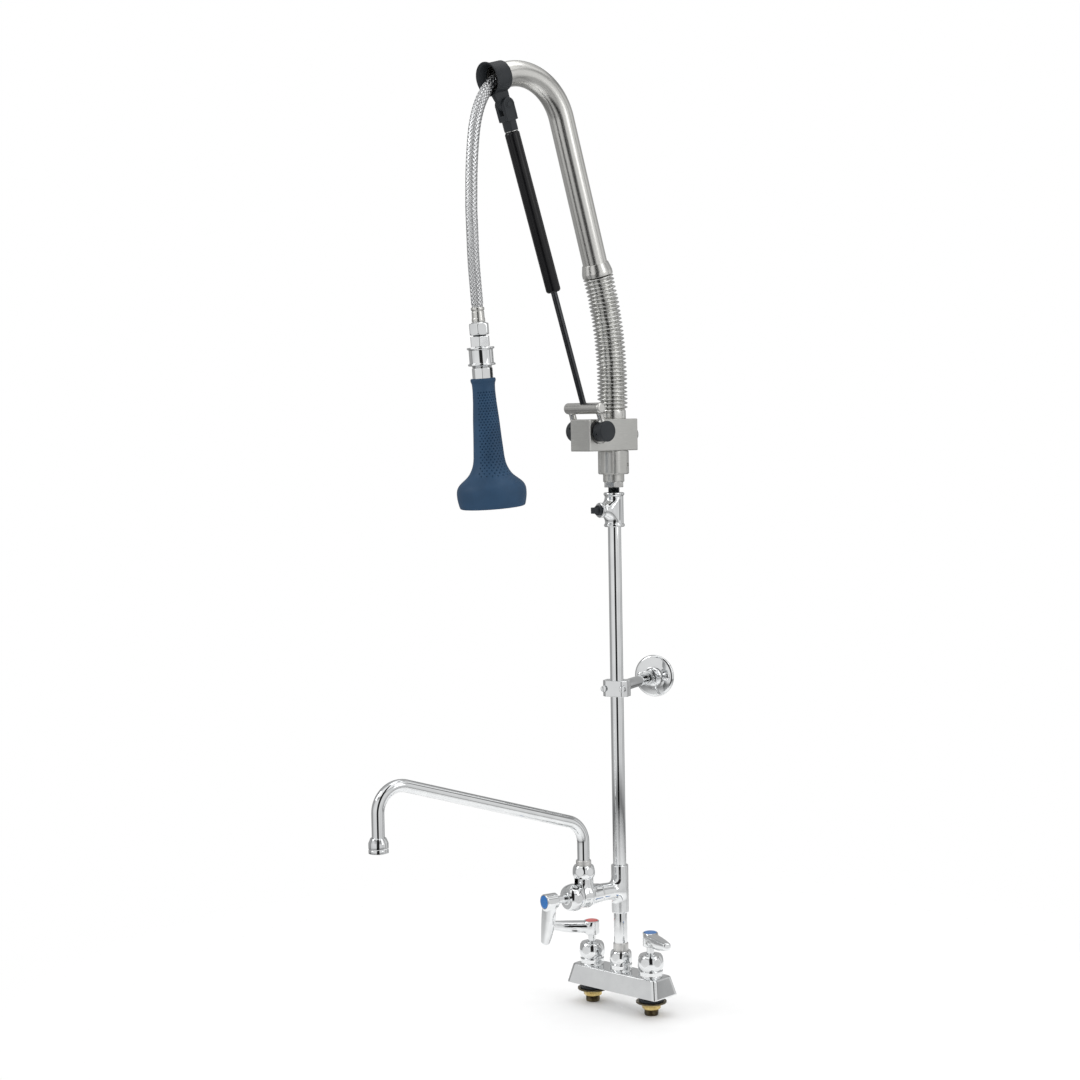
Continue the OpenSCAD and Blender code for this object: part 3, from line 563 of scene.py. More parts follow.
ROD_STEEL = grained("rod_steel", (0.1, 0.105, 0.11), (0.05, 0.052, 0.056), (0.18, 0.28), (500, 500, 20))
GRIP_BLUE = speckled("grip_blue", (0.019, 0.06, 0.124), (0.015, 0.048, 0.1), (0.44, 0.58), 700, 0.12,
                     specular=0.25)
CAP_BLUE = speckled("cap_blue", (0.01, 0.15, 0.46), (0.008, 0.125, 0.4), (0.16, 0.26), 260, 0.03, coat=0.3)
CAP_RED = speckled("cap_red", (0.66, 0.085, 0.075), (0.55, 0.065, 0.055), (0.16, 0.26), 260, 0.03, coat=0.3)
INNER = speckled("inner_hose", (0.14, 0.14, 0.14), (0.1, 0.1, 0.1), (0.5, 0.7), 400)
FACE = speckled("spray_face", (0.035, 0.038, 0.042), (0.026, 0.028, 0.032), (0.35, 0.5), 900)

for node, material in {
    "valve_cartridges": BRASS, "hot_stem": CHROME, "cold_stem": CHROME, "addon_stem": CHROME,
    "hinge_pin": STEM_STEEL, "trigger_pin": STEM_STEEL, "valve_stem": STEM_STEEL,
    "clevis_pin": BLACK,
}.items():
    frame["nodes"][node].data.materials.clear()
    frame["nodes"][node].data.materials.append(material)


# ---------- camera ----------
def camera():
    """The camera stands at the user's right, just below the hinge block, and looks a little down."""
    azimuth, pitch, roll = (math.radians(v) for v in (43.10, 3.43, 1.01))
    ahead = Vector((-math.sin(azimuth), math.cos(azimuth), 0))
    right = Vector((math.cos(azimuth), math.sin(azimuth), 0))
    up = Vector((0, 0, 1))
    cos, sin = math.cos(pitch), math.sin(pitch)
    ahead, up = ahead * cos - up * sin, up * cos + ahead * sin
    cos, sin = math.cos(roll), math.sin(roll)
    right, up = right * cos - up * sin, up * cos + right * sin
    data = bpy.data.cameras.new("camera")
    data.sensor_width = 36
    data.lens = 68.33
    o = bpy.data.objects.new("camera", data)
    o.matrix_world = Matrix.Translation((1.7456, -2.0073, 0.7514)) @ Matrix(
        (right, up, -ahead)).transposed().to_4x4()
    bpy.context.scene.collection.objects.link(o)
    bpy.context.scene.camera = o


camera()

# ---------- the free hose ----------
HOSE_R = 7.4
HOSE_ROUTE = [(194, 1156), (200.5, 1147.5), (206, 1138.5), (211, 1127.5), (216, 1111), (219, 1094),
              (221, 1077), (222.5, 1060), (223.5, 1042), (224, 1024), (224.5, 1006), (224, 988),
              (223.5, 970), (223, 952), (222, 934), (220.5, 916), (219, 899), (218, 887)]


def in_plane(points):
    """Points of the gooseneck's plane, given as reach and height."""
    return np.array([(0, -reach, z) for reach, z in points], float)


def lengths(path):
    return np.concatenate([[0], np.cumsum(np.linalg.norm(np.diff(path, axis=0), axis=1))])


def braid_shell(path, run, taper):
    """Woven relief along a path in the gooseneck's plane. taper pinches its end under the ferrule."""
    sides = 96
    around = STRANDS * np.arange(sides) / sides
    rows = []
    for p, ring, s in zip(path, rings_along(path, sides), run):
        a, b = around + s / PITCH, around - s / PITCH
        over = (np.floor(a) + np.floor(b)) % 2 < 0.5
        across = np.where(over, np.abs(a % 1 - 0.5), np.abs(b % 1 - 0.5))
        end = min(1.0, (run[-1] - s) / 4) if taper else 1.0
        r = (HOSE_R - 0.45 * (2 * across) ** 3 - 0.9 * (1 - end))[:, None]
        rows.append(p + r * ring)
    return caps(grid(rows), sides)


def free_hose():
    path = smooth_path(in_plane(HOSE_ROUTE), 0.55)
    run = lengths(path)
    o = build("braided_hose", [braid_shell(path, run, True)], BRAID, None, ["hose_free"], at=NECK, sharp=60)
    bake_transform(o)


def ferrule_piece():
    profile = [(0, 0), (7.4, 0), (8.3, 0.8), (8.3, 3.4), (7.3, 4.4), (7.2, 5.2), (7.8, 6), (7.8, 13.4),
               (8.3, 14.2), (8.3, 17.4), (7.6, 18.4), (0, 18.4)]
    return build("crimped_ferrule", [lathe(profile)], TUBE_STEEL, "hose", ["hose_ferrule"], at=VALVE)


def hex_radius(flat, turned=0.0, edge=0.5):
    """The outer radius of a six-sided bar with eased corners, as a function of the angle."""
    def radius(a):
        sharp = flat / np.cos(facet(a + turned, 6))
        return smin(sharp, np.full_like(sharp, flat / math.cos(math.pi / 6) - edge * 0.3), edge)
    return radius


def hex_nut(flat, z0, z1, bore, chamfer=1.6, turned=0.0):
    """Hexagonal nut with turned chamfers at both ends."""
    outline = hex_radius(flat, turned)
    corner = flat / math.cos(math.pi / 6)

    def radius(a, z):
        end = min(z - z0, z1 - z)
        turned_off = flat - 0.4 + (corner - flat + 0.6) * math.sqrt(min(1.0, end / chamfer) + 1e-9)
        return np.minimum(outline(a), turned_off)

    steps = [0, 0.08, 0.25, 0.6, 1.0, 1.3, 1.7]
    zs = [z0 + chamfer * s for s in steps] + [z1 - chamfer * s for s in reversed(steps)]
    return polar(radius, zs, 96, bore)


ferrule = ferrule_piece()
nut = build("hose_nut_piece", [lathe([(0, 18.5), (8.8, 18.5), (10.8, 20.6), (10.8, 22), (0, 22)]),
            hex_nut(11.3, 19.6, 34.0, 4.5, 2.8, 0.42)], CHROME, "hose", ["hose_nut"], at=VALVE)
free_hose()


# ---------- deck base and valves ----------
DECK_TOP, SHANK_R = 33, 9.3


def taper_block(p, base, top, height, corner, rim):
    """A block whose four sides lean in, with rounded upright corners and rim."""
    lean = (base[0] - top[0]) / height
    scale = 1 / math.hypot(1, lean)
    dx = (np.abs(p[:, 0]) - (base[0] - lean * p[:, 2])) * scale
    dy = (np.abs(p[:, 1]) - (base[1] - lean * p[:, 2])) * scale
    return np.maximum(smax(smax(dx, dy, corner), p[:, 2] - height, rim), -p[:, 2])


def base_shape(p):
    low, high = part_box("deck_base")
    half = (high.x * 1000, high.y * 1000)
    d = taper_block(p, half, (half[0] - 6, half[1] - 6), 25, 6, 2.4)
    seats = [VALVES[side][0, 3] for side in ("hot", "cold")]
    for at, r in ((seats[0], 15.8), (0, 14.5), (seats[1], 15.8)):
        d = smin(d, rod(p, (at, 0, 5), (at, 0, DECK_TOP), r, edge=0.7), 2.0)
    for at, r in ((seats[0], 11), (0, 7), (seats[1], 11)):
        d = smax(d, -rod(p, (at, 0, 12), (at, 0, 60), r), 0.3)
    for at in seats:
        d = np.maximum(d, -rod(p, (at, 0, -5), (at, 0, 10), SHANK_R))
    return d


build("base_casting", [nets(base_shape, (-77, -24, 0), (77, 24, 33), 0.9)], CHROME, "deck", ["deck_base"],
      sharp=50)


def ball_nut_shell(r, h, bore, flat):
    """Ball-shaped nut with six broad polished flats."""
    middle = h * 0.47

    def radius(a, z):
        globe = math.sqrt(max(r * r - (z - middle) ** 2, 0))
        # each flat leans in towards the top, as on a domed nut
        lean = flat - 0.1 * (z - middle)
        return smin(lean / np.cos(facet(a, 6)), np.full_like(a, globe), 0.35)

    inner = [0, 0.03, 0.07]
    zs = [h * t for t in inner + list(np.linspace(0.1, 0.95, 30)) + [0.98, 1.0]]
    return polar(radius, zs, 120, bore)


def bonnet_shell():
    body = ball_nut_shell(17.6, 20, 5.2, 16.8)
    foot = lathe([(11, -0.1), (14.2, -0.1), (14.2, 1.4), (11, 1.4)], ease=0.1)
    crown = lathe([(5.15, 19), (8.2, 19.4), (8.4, 20.4), (7.6, 21), (5.15, 21)], ease=0.25)
    return [body, foot, crown]


BONNETS = {"hot": VALVES["hot"] @ shift(z=DECK_TOP) @ turn("z", 42),
           "cold": VALVES["cold"] @ shift(z=DECK_TOP) @ turn("z", 42),
           "addon": ALONG_ADDON @ shift(z=65)}
for side, at in BONNETS.items():
    node = ["valve_bonnets"] if side == "hot" else []
    build(f"{side}_bonnet", bonnet_shell(), CHROME, "deck", node, at=at)


def ring_thread(r, depth, pitch, z0, z1, bore, sides=72):
    """A tube with a helical thread outside."""
    def radius(a, z):
        phase = (z / pitch + a / (2 * math.pi)) % 1
        fade = min(1.0, (z - z0) / pitch, (z1 - z) / pitch)
        return r - depth * fade * (1 - np.abs(2 * phase - 1)) - 0.5 * (1 - fade) * (fade < 1)
    return polar(radius, np.linspace(z0, z1, int((z1 - z0) / pitch * 8)), sides, bore)


UNDER_DECK = (
    ("shank", [ring_thread(SHANK_R, 0.75, 1.6, -26, 9.5, 6)], PATINA, "inlet_shanks"),
    ("washer", [lathe([(9.6, -10), (20, -10), (20, -7.9), (9.6, -7.9)], ease=0.5)], PATINA, "shank_washers"),
    # a plain black ring on each washer, filling part of the dark gap under the base's underside
    ("rubber", [lathe([(9.6, -7.8), (16.5, -7.8), (16.2, -4.6), (9.6, -4.4)], ease=0.8)], BLACK, None),
    ("locknut", [lathe([(9.4, -13.8), (12.4, -13.8), (13.3, -12.8), (13.3, -10.9), (12.5, -10.1),
                        (9.4, -10.1)]),
                 hex_nut(10.8, -18, -13.4, 9.4, 1.2)], BRASS, "shank_locknuts"))
for side in ("hot", "cold"):
    for what, shells, material, node in UNDER_DECK:
        nodes = [node] if node and side == "hot" else []
        build(f"{side}_{what}", shells, material, "deck", nodes, at=VALVES[side])


# ---------- levers ----------
def lever_shape(p):
    """Round hub on +Z, and a thick arm along +X that thins to a round tip, hollowed on both sides."""
    x, y, z = p.T
    along = np.clip(x / 58, 0, 1)
    stations = [0, 0.12, 0.42, 0.62, 0.8, 1.0]
    half_w = np.interp(along, stations, [9.4, 9.7, 9.7, 8.8, 7.2, 5.2])
    half_h = np.interp(along, stations, [7.4, 7.6, 7.6, 7.2, 6.2, 4.8])
    middle = 17.2 - half_h
    full = (np.abs(y / half_w) ** 2.8 + np.abs((z - middle) / half_h) ** 2.8 + 1e-9) ** (1 / 2.8)
    arm = (full - 1) * np.minimum(half_w, half_h)
    arm = smax(arm, x - 57.6, 3.0)
    arm = smax(arm, -x, 1.0)
    hub = rod(p, (0, 0, 0), (0, 0, 18), 10, edge=1.2)
    d = smin(arm, hub, 2.4)
    for s in (-1, 1):
        dent = ((x - 22) / 10) ** 2 + ((y - s * 12.4) / 4.6) ** 2 + ((z - 6.6) / 3.4) ** 2
        d = smax(d, -(np.sqrt(dent + 1e-9) - 1) * 3.4, 0.9)
    d = drill(d, p, (0, 0, 15), (0, 0, 22), 8.5, 0.25)
    return np.maximum(d, -rod(p, (0, 0, -2), (0, 0, 10), 3.98, edge=0.1))


lever_shell = nets(lever_shape, (-10, -10, 0), (58, 10, 18), 0.55)
cap_profile = [(0, 15), (8.45, 15), (8.45, 18), (8.0, 18.6), (6, 18.75), (0, 18.8)]
hot_at = VALVES["hot"] @ shift(z=64) @ turn("z", 221)
cold_at = VALVES["cold"] @ shift(z=64) @ turn("z", -28)
addon_at = ALONG_ADDON @ shift(z=101) @ turn("z", -98)
LEVERS = (("hot", hot_at, CAP_RED), ("cold", cold_at, CAP_BLUE), ("addon", addon_at, CAP_BLUE))
for side, at, colour in LEVERS:
    build(f"{side}_lever_arm", [lever_shell], CHROME, f"{side}_lever", [f"{side}_handle"], at=at, sharp=45)
    build(f"{side}_cap", [lathe(cap_profile)], colour, f"{side}_lever", [f"{side}_index"], at=at)

# ---------- riser and add-on body ----------
NUT_TOP = 50
build("riser_nut", [moved(ball_nut_shell(15.4, 17, 9.95, 14.5), shift(z=33) @ turn("z", 38)),
      lathe([(9.95, 32.9), (13.9, 32.9), (14.4, 33.6), (13.9, 34.2), (9.95, 34.2)], ease=0.2)], CHROME,
      "deck", ["swivel_nuts"])
build("nozzle_nut", [ball_nut_shell(14.8, 16, 9.95, 13.9)], CHROME, "deck",
      at=NOZZLE @ shift(z=155) @ turn("z", 5))
build("lower_pipe", [lathe([(5.5, 20), (7, 20), (7, 60), (8.8, 60), (8.8, 101.5), (5.5, 101.5)])], CHROME,
      "deck", ["lower_nipple"])


def matte_collar(z0, z1, outer, inner):
    return lathe([(inner, z0), (outer, z0), (outer, z1 - 1.2), (outer - 0.8, z1), (inner, z1)], ease=0.3)


build("riser_collar", [matte_collar(NUT_TOP - 1, 61, 9.9, 8.0)], MATTE, "deck", sharp=40)


def addon_shape(p):
    """p is in the add-on body's plane: the riser's axis is Z and the valve points to -Y."""
    def along(y0, y1, r0, r1, edge):
        return rod(p, (0, y0, ADDON_Z), (0, y1, ADDON_Z), r0, r1, edge)

    sleeve = rod(p, (0, 0, 101), (0, 0, 164), 11.2, edge=0.7)
    arm = along(0, -46, 10.6, 12.2, 0.3)
    flare = along(-34, -54, 11.6, 15.2, 0.3)
    end = along(-52, -65, 15.5, 15.5, 0.8)
    boss = rod(p, (0, -57, ADDON_Z), (0, -57, 155), 12.2, edge=0.8)
    d = smin(arm, sleeve, 7.0)
    d = smin(d, smin(flare, end, 3.0), 3.0)
    d = smin(d, boss, 5.0)
    d = drill(d, p, (0, 0, 160), (0, 0, 170), 8.6, 0.2)
    d = drill(d, p, (0, 0, 95), (0, 0, 110), 8.8, 0.2)
    d = drill(d, p, (0, -44, ADDON_Z), (0, -70, ADDON_Z), 11)
    return drill(d, p, (0, -57, 143), (0, -57, 160), 8)


build("addon_casting", [nets(addon_shape, (-16, -65, 101), (16, 12, 164), 0.8)], CHROME, "deck",
      ["addon_body"], at=ADDON, sharp=50)
RISER_LOW, RISER_HIGH = (v.z * 1000 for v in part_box("riser_pipe"))
build("riser_tube", [lathe([(6.25, RISER_LOW), (8.575, RISER_LOW), (8.575, RISER_HIGH), (6.25, RISER_HIGH)],
      128)], CHROME, "deck", ["riser_pipe"])

TEE_Z = 630


def tee_shape(p):
    """p is in the gooseneck's plane: the tee's branch points to -Y."""
    d = rod(p, (0, 0, 608), (0, 0, 652), 12.2, edge=0.6)
    web = smax(rod(p, (0, -3, TEE_Z), (0, -19, TEE_Z), 18.5, 8.4, edge=1.0), np.abs(p[:, 0]) - 11.6, 2.5)
    d = smin(d, web, 3.0)
    d = smin(d, rod(p, (0, 0, TEE_Z), (0, -25.5, TEE_Z), 8.6, edge=0.5), 2.0)
    for z in (608, 648.6):
        d = smin(d, rod(p, (0, 0, z), (0, 0, z + 3.4), 13.5, edge=1.2), 1.6)
    d = smin(d, rod(p, (0, -22, TEE_Z), (0, -25.5, TEE_Z), 9.8, edge=1.0), 1.2)
    d = drill(d, p, (0, 0, 600), (0, 0, 616), 8.6)
    d = drill(d, p, (0, 0, 644), (0, 0, 660), 7.85, 0.6)
    return drill(d, p, (0, -16, TEE_Z), (0, -30, TEE_Z), 6.0, 0.4)


build("tee_casting", [nets(tee_shape, (-14, -26, 608), (14, 14, 652), 0.65)], CHROME, "deck", ["tee"],
      at=NECK, sharp=50)
BRANCH = NECK @ shift(0, 0, TEE_Z) @ turn("x", 90)


def plug_shape(p):
    d = rod(p, (0, 0, 15), (0, 0, 26), 5.5, edge=0.3)
    d = np.minimum(d, rod(p, (0, 0, 25.5), (0, 0, 29.6), 6.5, edge=0.5))
    return np.minimum(d, block(p, (0, 0, 32.2), (4, 4, 4.7), 0.6))


build("plug", [nets(plug_shape, (-7, -7, 15), (7, 7, 37), 0.4)], BLACK, "deck", ["tee_plug"], at=BRANCH,
      sharp=50)
build("upper_nipple", [ring_thread(7.6, 0.7, 1.4, 643, 659, 5)], THREAD, "deck", ["top_nipple"])

# ---------- wall bracket ----------
CLAMP_SCREWS = (-13, 13)


def clamp_shape(p):
    """One half of the clamp round the riser, its outer corners bevelled."""
    d = block(p, (0, 0, 6.4), (17, 10.5, 6.0), 0.7)
    slant = (np.abs(p[:, 0]) + p[:, 2] - 23.6) / math.sqrt(2)
    d = smax(d, slant, 1.0)
    d = drill(d, p, (0, -20, 0), (0, 20, 0), 8.58)
    for x in CLAMP_SCREWS:
        d = drill(d, p, (x, 0, 9.4), (x, 0, 20), 4.4)
    return d


half_clamp = nets(clamp_shape, (-17, -10.5, 0.4), (17, 10.5, 12.4), 0.5)
flip = np.diag([1.0, 1.0, -1.0, 1.0])
build("clamp_halves", [moved(half_clamp, BRACKET), moved(half_clamp, BRACKET @ flip)], CHROME, "deck",
      ["riser_clamp"], sharp=50)


def slotted(p):
    d = rod(p, (0, 0, -15.2), (0, 0, -8.8), 4.0, edge=0.7)
    d = smax(d, -block(p, (0, 0, -15.4), (6, 0.65, 1.4), 0.1), 0.15)
    return np.minimum(d, rod(p, (0, 0, -10), (0, 0, 12), 2.1, edge=0.4))


screw = nets(slotted, (-4.2, -4.2, -15.2), (4.2, 4.2, 12), 0.35)
pair = [moved(screw, BRACKET @ shift(x, 0, 0) @ turn("z", 35 * x)) for x in CLAMP_SCREWS]
build("clamp_screw_pair", pair, CHROME, "deck", ["clamp_screws"], sharp=50)
build("bracket_bar", [lathe([(0, 9.8), (4.5, 9.8), (4.5, 12.6), (7.15, 12.6), (7.15, WALL - 31.6),
      (6, WALL - 31), (0, WALL - 31)])], CHROME, "deck", ["bracket_rod"], at=BRACKET)
build("bracket_thread", [ring_thread(6.0, 0.55, 1.5, WALL - 31.2, WALL - 7, 1.0, 60)], THREAD, "deck",
      at=BRACKET)
build("bracket_nut_pair", [hex_nut(9, WALL - 28, WALL - 23, 6.02, 1.0, 0.3),
      hex_nut(9, WALL - 19, WALL - 13, 6.02, 1.0, 0.8)], CHROME, "deck", ["bracket_nuts"], at=BRACKET)
build("flange", [lathe([(6.02, WALL - 13), (9, WALL - 13), (10, WALL - 8), (12.5, WALL - 5.4),
      (18, WALL - 4.9), (26, WALL - 3.6), (28, WALL - 2.2), (28.5, WALL - 0.6), (28.2, WALL), (6.02, WALL)],
      128, 1.2)], CHROME, "deck", ["wall_flange"], at=BRACKET)


def flange_screw_shape(p):
    d = smax(ball(p, (0, 0, 2.6), 8.2), p[:, 2] + 2.2, 0.3)
    d = smax(d, rod(p, (0, 0, -6), (0, 0, 1), 5.5, edge=0.2), 0.3)
    for half in ((2.6, 0.55, 2), (0.55, 2.6, 2)):
        d = smax(d, -block(p, (0, 0, -5.4), half, 0.1), 0.15)
    return np.minimum(d, rod(p, (0, 0, -3), (0, 0, 22), 2.4, 1.4, edge=0.3))


flange_screw = nets(flange_screw_shape, (-5.6, -5.6, -5.7), (5.6, 5.6, 22), 0.4)
build("flange_screw_pair", [moved(flange_screw, BRACKET @ shift(x, 0, WALL - 2.4) @ turn("z",
      25 + x)) for x in (-18, 18)], CHROME, "deck", ["flange_screws"], sharp=50)

# ---------- swing nozzle ----------
NOZZLE_R, OUTLET_TOP = 7.95, 245
rise = math.radians(17.1)
corner_z = 224
far_z = corner_z + 300 * math.tan(rise)
path = bent([(0, 0, 156), (0, 0, corner_z), (0, -300, far_z), (0, -300, OUTLET_TOP - 4)], 31, 2.5)
build("nozzle_tube", [sweep(path, NOZZLE_R, 64, 6.75), lathe([(6.75, 143), (7.9, 143), (7.9, 156),
      (6.75, 156)])], CHROME, "nozzle", ["swing_nozzle"], at=NOZZLE)
build("nozzle_collar", [matte_collar(156, 178, 9.9, 8.0)], MATTE, "nozzle", at=NOZZLE, sharp=40)

AERATOR = [(10, 0), (12.3, 0), (12.3, 4), (11.9, 4.5), (11.9, 5.5), (12.3, 6), (12.3, 12.5), (11.4, 14.6),
           (9.7, 18.6), (8.0, 19.4), (8.0, 13), (10, 13)]
build("aerator_cap", [lathe(AERATOR, 96, 0.5)], CHROME, "nozzle", ["aerator_shell"],
      at=OUTLET @ shift(z=226))


def aerator_screen(p):
    d = rod(p, (0, 0, 227.5), (0, 0, 236), 10, edge=0.3)
    gx, gy = (np.abs((p[:, k] / 2.2) % 1 - 0.5) * 2.2 for k in (0, 1))
    within = np.maximum(p[:, 2] - 229.6, np.hypot(p[:, 0], p[:, 1]) - 8.6)
    return smax(d, -np.maximum(-np.minimum(gx - 0.35, gy - 0.35), within), 0.1)


build("aerator_screen", [nets(aerator_screen, (-10, -10, 227.5), (10, 10, 236), 0.3)], STEM_STEEL, "nozzle",
      ["aerator_insert"], at=OUTLET, sharp=50)

# ---------- swivel hub and hinge block ----------
def hub_shape(p):
    x, y, z = p.T
    d = np.maximum(np.hypot(x, y) - 20, np.abs(z - 691.25) - 15.25)
    d = smax(d, np.hypot(x, y) + np.abs(z - 691.25) - 34.1, 0.4)
    d = smax(d, np.abs(x) - 19, 0.6)
    d = smax(d, np.abs(y) - 19.6, 0.6)
    for a in (-150, -100, -40):
        c, s = 20.2 * math.cos(math.radians(a)), 20.2 * math.sin(math.radians(a))
        d = smax(d, 1.6 - np.hypot(x - c, y - s), 0.3)
    d = smin(d, rod(p, (0, 0, 666), (0, 0, 677), 13.8, edge=0.8), 0.3)
    return drill(d, p, (22, 9, 688), (15, 9, 688), 2.2, 0.2)


build("hub", [nets(hub_shape, (-20, -20, 666), (20, 20, 706.5), 0.7)], SATIN, "swivel", ["swivel_hub"],
      at=NECK, sharp=40)
build("hub_hex", [hex_nut(12.25, 659, 666.2, 5, 1.4, 0.2)], STEM_STEEL, "deck", ["hub_spigot"], at=NECK)
HINGE_REACH, HINGE_Z = -hinge_at[1], hinge_at[2]


def hinge_block_shape(p):
    d = block(p, (0, -15, 727), (19, 41, 20.5), 0.9)
    for s in (-1, 1):
        d = drill(d, p, (s * 18.2, -HINGE_REACH, HINGE_Z), (s * 22, -HINGE_REACH, HINGE_Z), 15.5, 0.4)
    return d


build("block", [nets(hinge_block_shape, (-19, -56, 706.5), (19, 26, 747.5), 0.9)], SATIN, "swivel",
      ["hinge_block"], at=NECK, sharp=40)


def bolt_shape(p):
    d = rod(p, (0, 0, 0), (0, 0, 11.8), 8.2, edge=1.3)
    return smax(d, -np.maximum(hexagon(p, 3.2), 8.0 - p[:, 2]), 0.2)


BACK = NECK @ shift(0, 26, 727) @ turn("x", -90)
build("block_screw", [nets(bolt_shape, (-8.3, -8.3, 0), (8.3, 8.3, 11.8), 0.4)], STEM_STEEL, "swivel",
      ["block_bolt"], at=BACK, sharp=40)
build("bellows_foot", [lathe([(12, 747.5), (17, 747.5), (17, 757.6), (16, 759.9), (12, 759.9)], ease=0.5)],
      TUBE_STEEL, "swivel", ["lower_collar"], at=NECK)

# ---------- bellows ----------
BELLOWS_PITCH = 5.1
BELLOWS_R, VALLEY_R = 19.6, 15.1
BELLOWS_FOOT, BELLOWS_TOP, TANGENT = 760, 78, 66
LEAN = math.radians(NECK_LEAN)
BEND_R = TANGENT / math.tan(LEAN / 2)


def tilted(distances):
    """Points up the bellows, (reach, height), and their lean: straight, an arc, then along the neck."""
    out = []
    before, arc = BEND_Z - TANGENT - BELLOWS_FOOT, BEND_R * LEAN
    for s in distances:
        if s < before:
            at, a = (0, BELLOWS_FOOT + s), 0
        elif s < before + arc:
            a = (s - before) / BEND_R
            at = (BEND_R * (1 - math.cos(a)), BEND_Z - TANGENT + BEND_R * math.sin(a))
        else:
            rest = s - before - arc + TANGENT
            at, a = (rest * math.sin(LEAN), BEND_Z + rest * math.cos(LEAN)), LEAN
        out.append((at, a))
    return out


def bellows_shell():
    length = BEND_Z - BELLOWS_FOOT + BELLOWS_TOP + BEND_R * LEAN - 2 * TANGENT
    count = round(length / BELLOWS_PITCH)
    at = np.linspace(0, length, count * 12 + 1)
    wave = (at / length * count) % 1
    fold = np.abs(2 * wave - 1)
    uneven = 0.12 * np.sin(7.3 * np.floor(at / length * count))
    radii = VALLEY_R + (BELLOWS_R - VALLEY_R + uneven) * (0.5 + 0.5 * np.cos(math.pi * fold)) ** 0.7
    a = angles(96)
    outer, inner = [], []
    for ((reach, z), lean_here), r, along in zip(tilted(at), radii, at):
        # the pressed folds run a little unevenly round the tube, except by its ends
        turns = along / BELLOWS_PITCH
        wavy = (0.42 * np.sin(2 * a + 1.3 * turns) + 0.25 * np.sin(5 * a - 0.7 * turns)) * min(
            1, along / 12, (length - along) / 12)
        u, w = np.array((1, 0, 0)), np.array((0, -math.cos(lean_here), -math.sin(lean_here)))
        up = np.array((0, -math.sin(lean_here), math.cos(lean_here)))
        for rows, rr, rise in ((outer, r, wavy), (inner, 14.4, 0 * wavy)):
            ring = rr * (np.cos(a)[:, None] * u + np.sin(a)[:, None] * w)
            rows.append(np.array((0, -reach, z)) + ring + rise[:, None] * up)
    return grid(outer + inner[::-1], loop=True)


bellow = build("bellows_tube", [bellows_shell()], BELLOWS, None, ["bellows"], at=NECK, sharp=60)
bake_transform(bellow)
core_path = in_plane([at for at, _ in tilted(np.linspace(0, 170, 60))])
core = build("flexing_core", [sweep(core_path, 6.5, 24)], INNER, None, ["inner_hose_flex"], at=NECK)
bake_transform(core)
TOP_COLLAR = [(15.95, 78), (19.75, 78), (19.75, 83), (17.25, 93.2), (17.0, 94), (15.95, 94)]
build("neck_ferrule", [lathe(TOP_COLLAR, ease=0.6)], TUBE_STEEL, "neck", ["top_collar"], at=ALONG_NECK)

# ---------- gooseneck tube ----------
GOOSE_R = 15.875


def goose_path():
    slope = math.radians(MOUTH_SLOPE)
    up = np.array((0, -math.sin(LEAN), math.cos(LEAN)))
    out = np.array((0, -math.cos(slope), -math.sin(slope)))
    start = np.array((0, 0, BEND_Z)) + 79 * up
    end = np.array((0, -MOUTH[0], MOUTH[1])) - 12 * out
    # the corner where the two straight runs meet
    t = np.linalg.solve(np.array([[up[1], -out[1]], [up[2], -out[2]]]), (end - start)[1:])[0]
    return bent([start, start + t * up, end], 70, 2.5)


build("goose_tube", [sweep(goose_path(), GOOSE_R, 96, 14.3)], TUBE_STEEL, "neck", ["gooseneck_tube"],
      at=NECK)
# the hose inside the tube: plain up to the mouth, where its braid shows
INNER_ROUTE = [(173, 1170.5), (181, 1166.5), (187, 1162), (191.3, 1158.5), (194, 1156)]
inner_braid = smooth_path(in_plane(INNER_ROUTE), 0.55)
inner_at = lengths(inner_braid)
build("inner_braid", [braid_shell(inner_braid, inner_at - inner_at[-1], False)], BRAID, "neck", at=NECK,
      sharp=60)
build("inner_run", [sweep([p for p in goose_path()[3:] if p[1] > -172] + [inner_braid[1]], 7.2, 24)], INNER,
      "neck", ["inner_hose"], at=NECK)

CLEVIS = (169.7, 1135.7)


def mouth_shape(p):
    """p is along the mouth: +Z out of it, +Y up the gooseneck's plane."""
    x, y, z = p.T
    r = np.hypot(x, y)
    outer = np.interp(z, [-26, -9, -3.5, -1, 0], [18.6, 18.8, 19.7, 21.1, 21.3])
    inner = np.interp(z, [-26, -12.2, -12, -6.5, -2.5, 0.3], [16.0, 16.0, 14.4, 15.6, 17.4, 20.2])
    return smax(smax(r - outer, inner - r, 0.5), np.abs(z + 12.8) - 12.8, 0.7)


mouth_ring_shell = nets(mouth_shape, (-21.3, -21.3, -25.6), (21.3, 21.3, 0), 0.6)
eye = into(ALONG_MOUTH, place([(0, -CLEVIS[0], CLEVIS[1])], NECK)[0])


def tongue_shape(p):
    x, y, z = p.T
    across = np.abs(x) - 3.5
    q = p[:, 1:] - eye[1:]
    ax = np.array([-15.5, -14.0]) - eye[1:]
    t = np.clip((q @ ax) / (ax @ ax), 0, 1)
    web = np.linalg.norm(q - t[:, None] * ax, axis=1) - (8.6 + 3.4 * t)
    hole = 5.4 - np.hypot(y - eye[1], z - eye[2])
    return np.maximum(smax(smax(web, across, 0.6), hole, 0.3), 17.2 - np.hypot(x, y) - 20 * (y > 0))


tongue_shell = nets(tongue_shape, (-3.5, min(-34, eye[1] - 9), -28), (3.5, -14, 6), 0.45)
build("mouth_clamp", [mouth_ring_shell, tongue_shell], BLACK, "neck", ["mouth_ring"], at=ALONG_MOUTH,
      sharp=45)


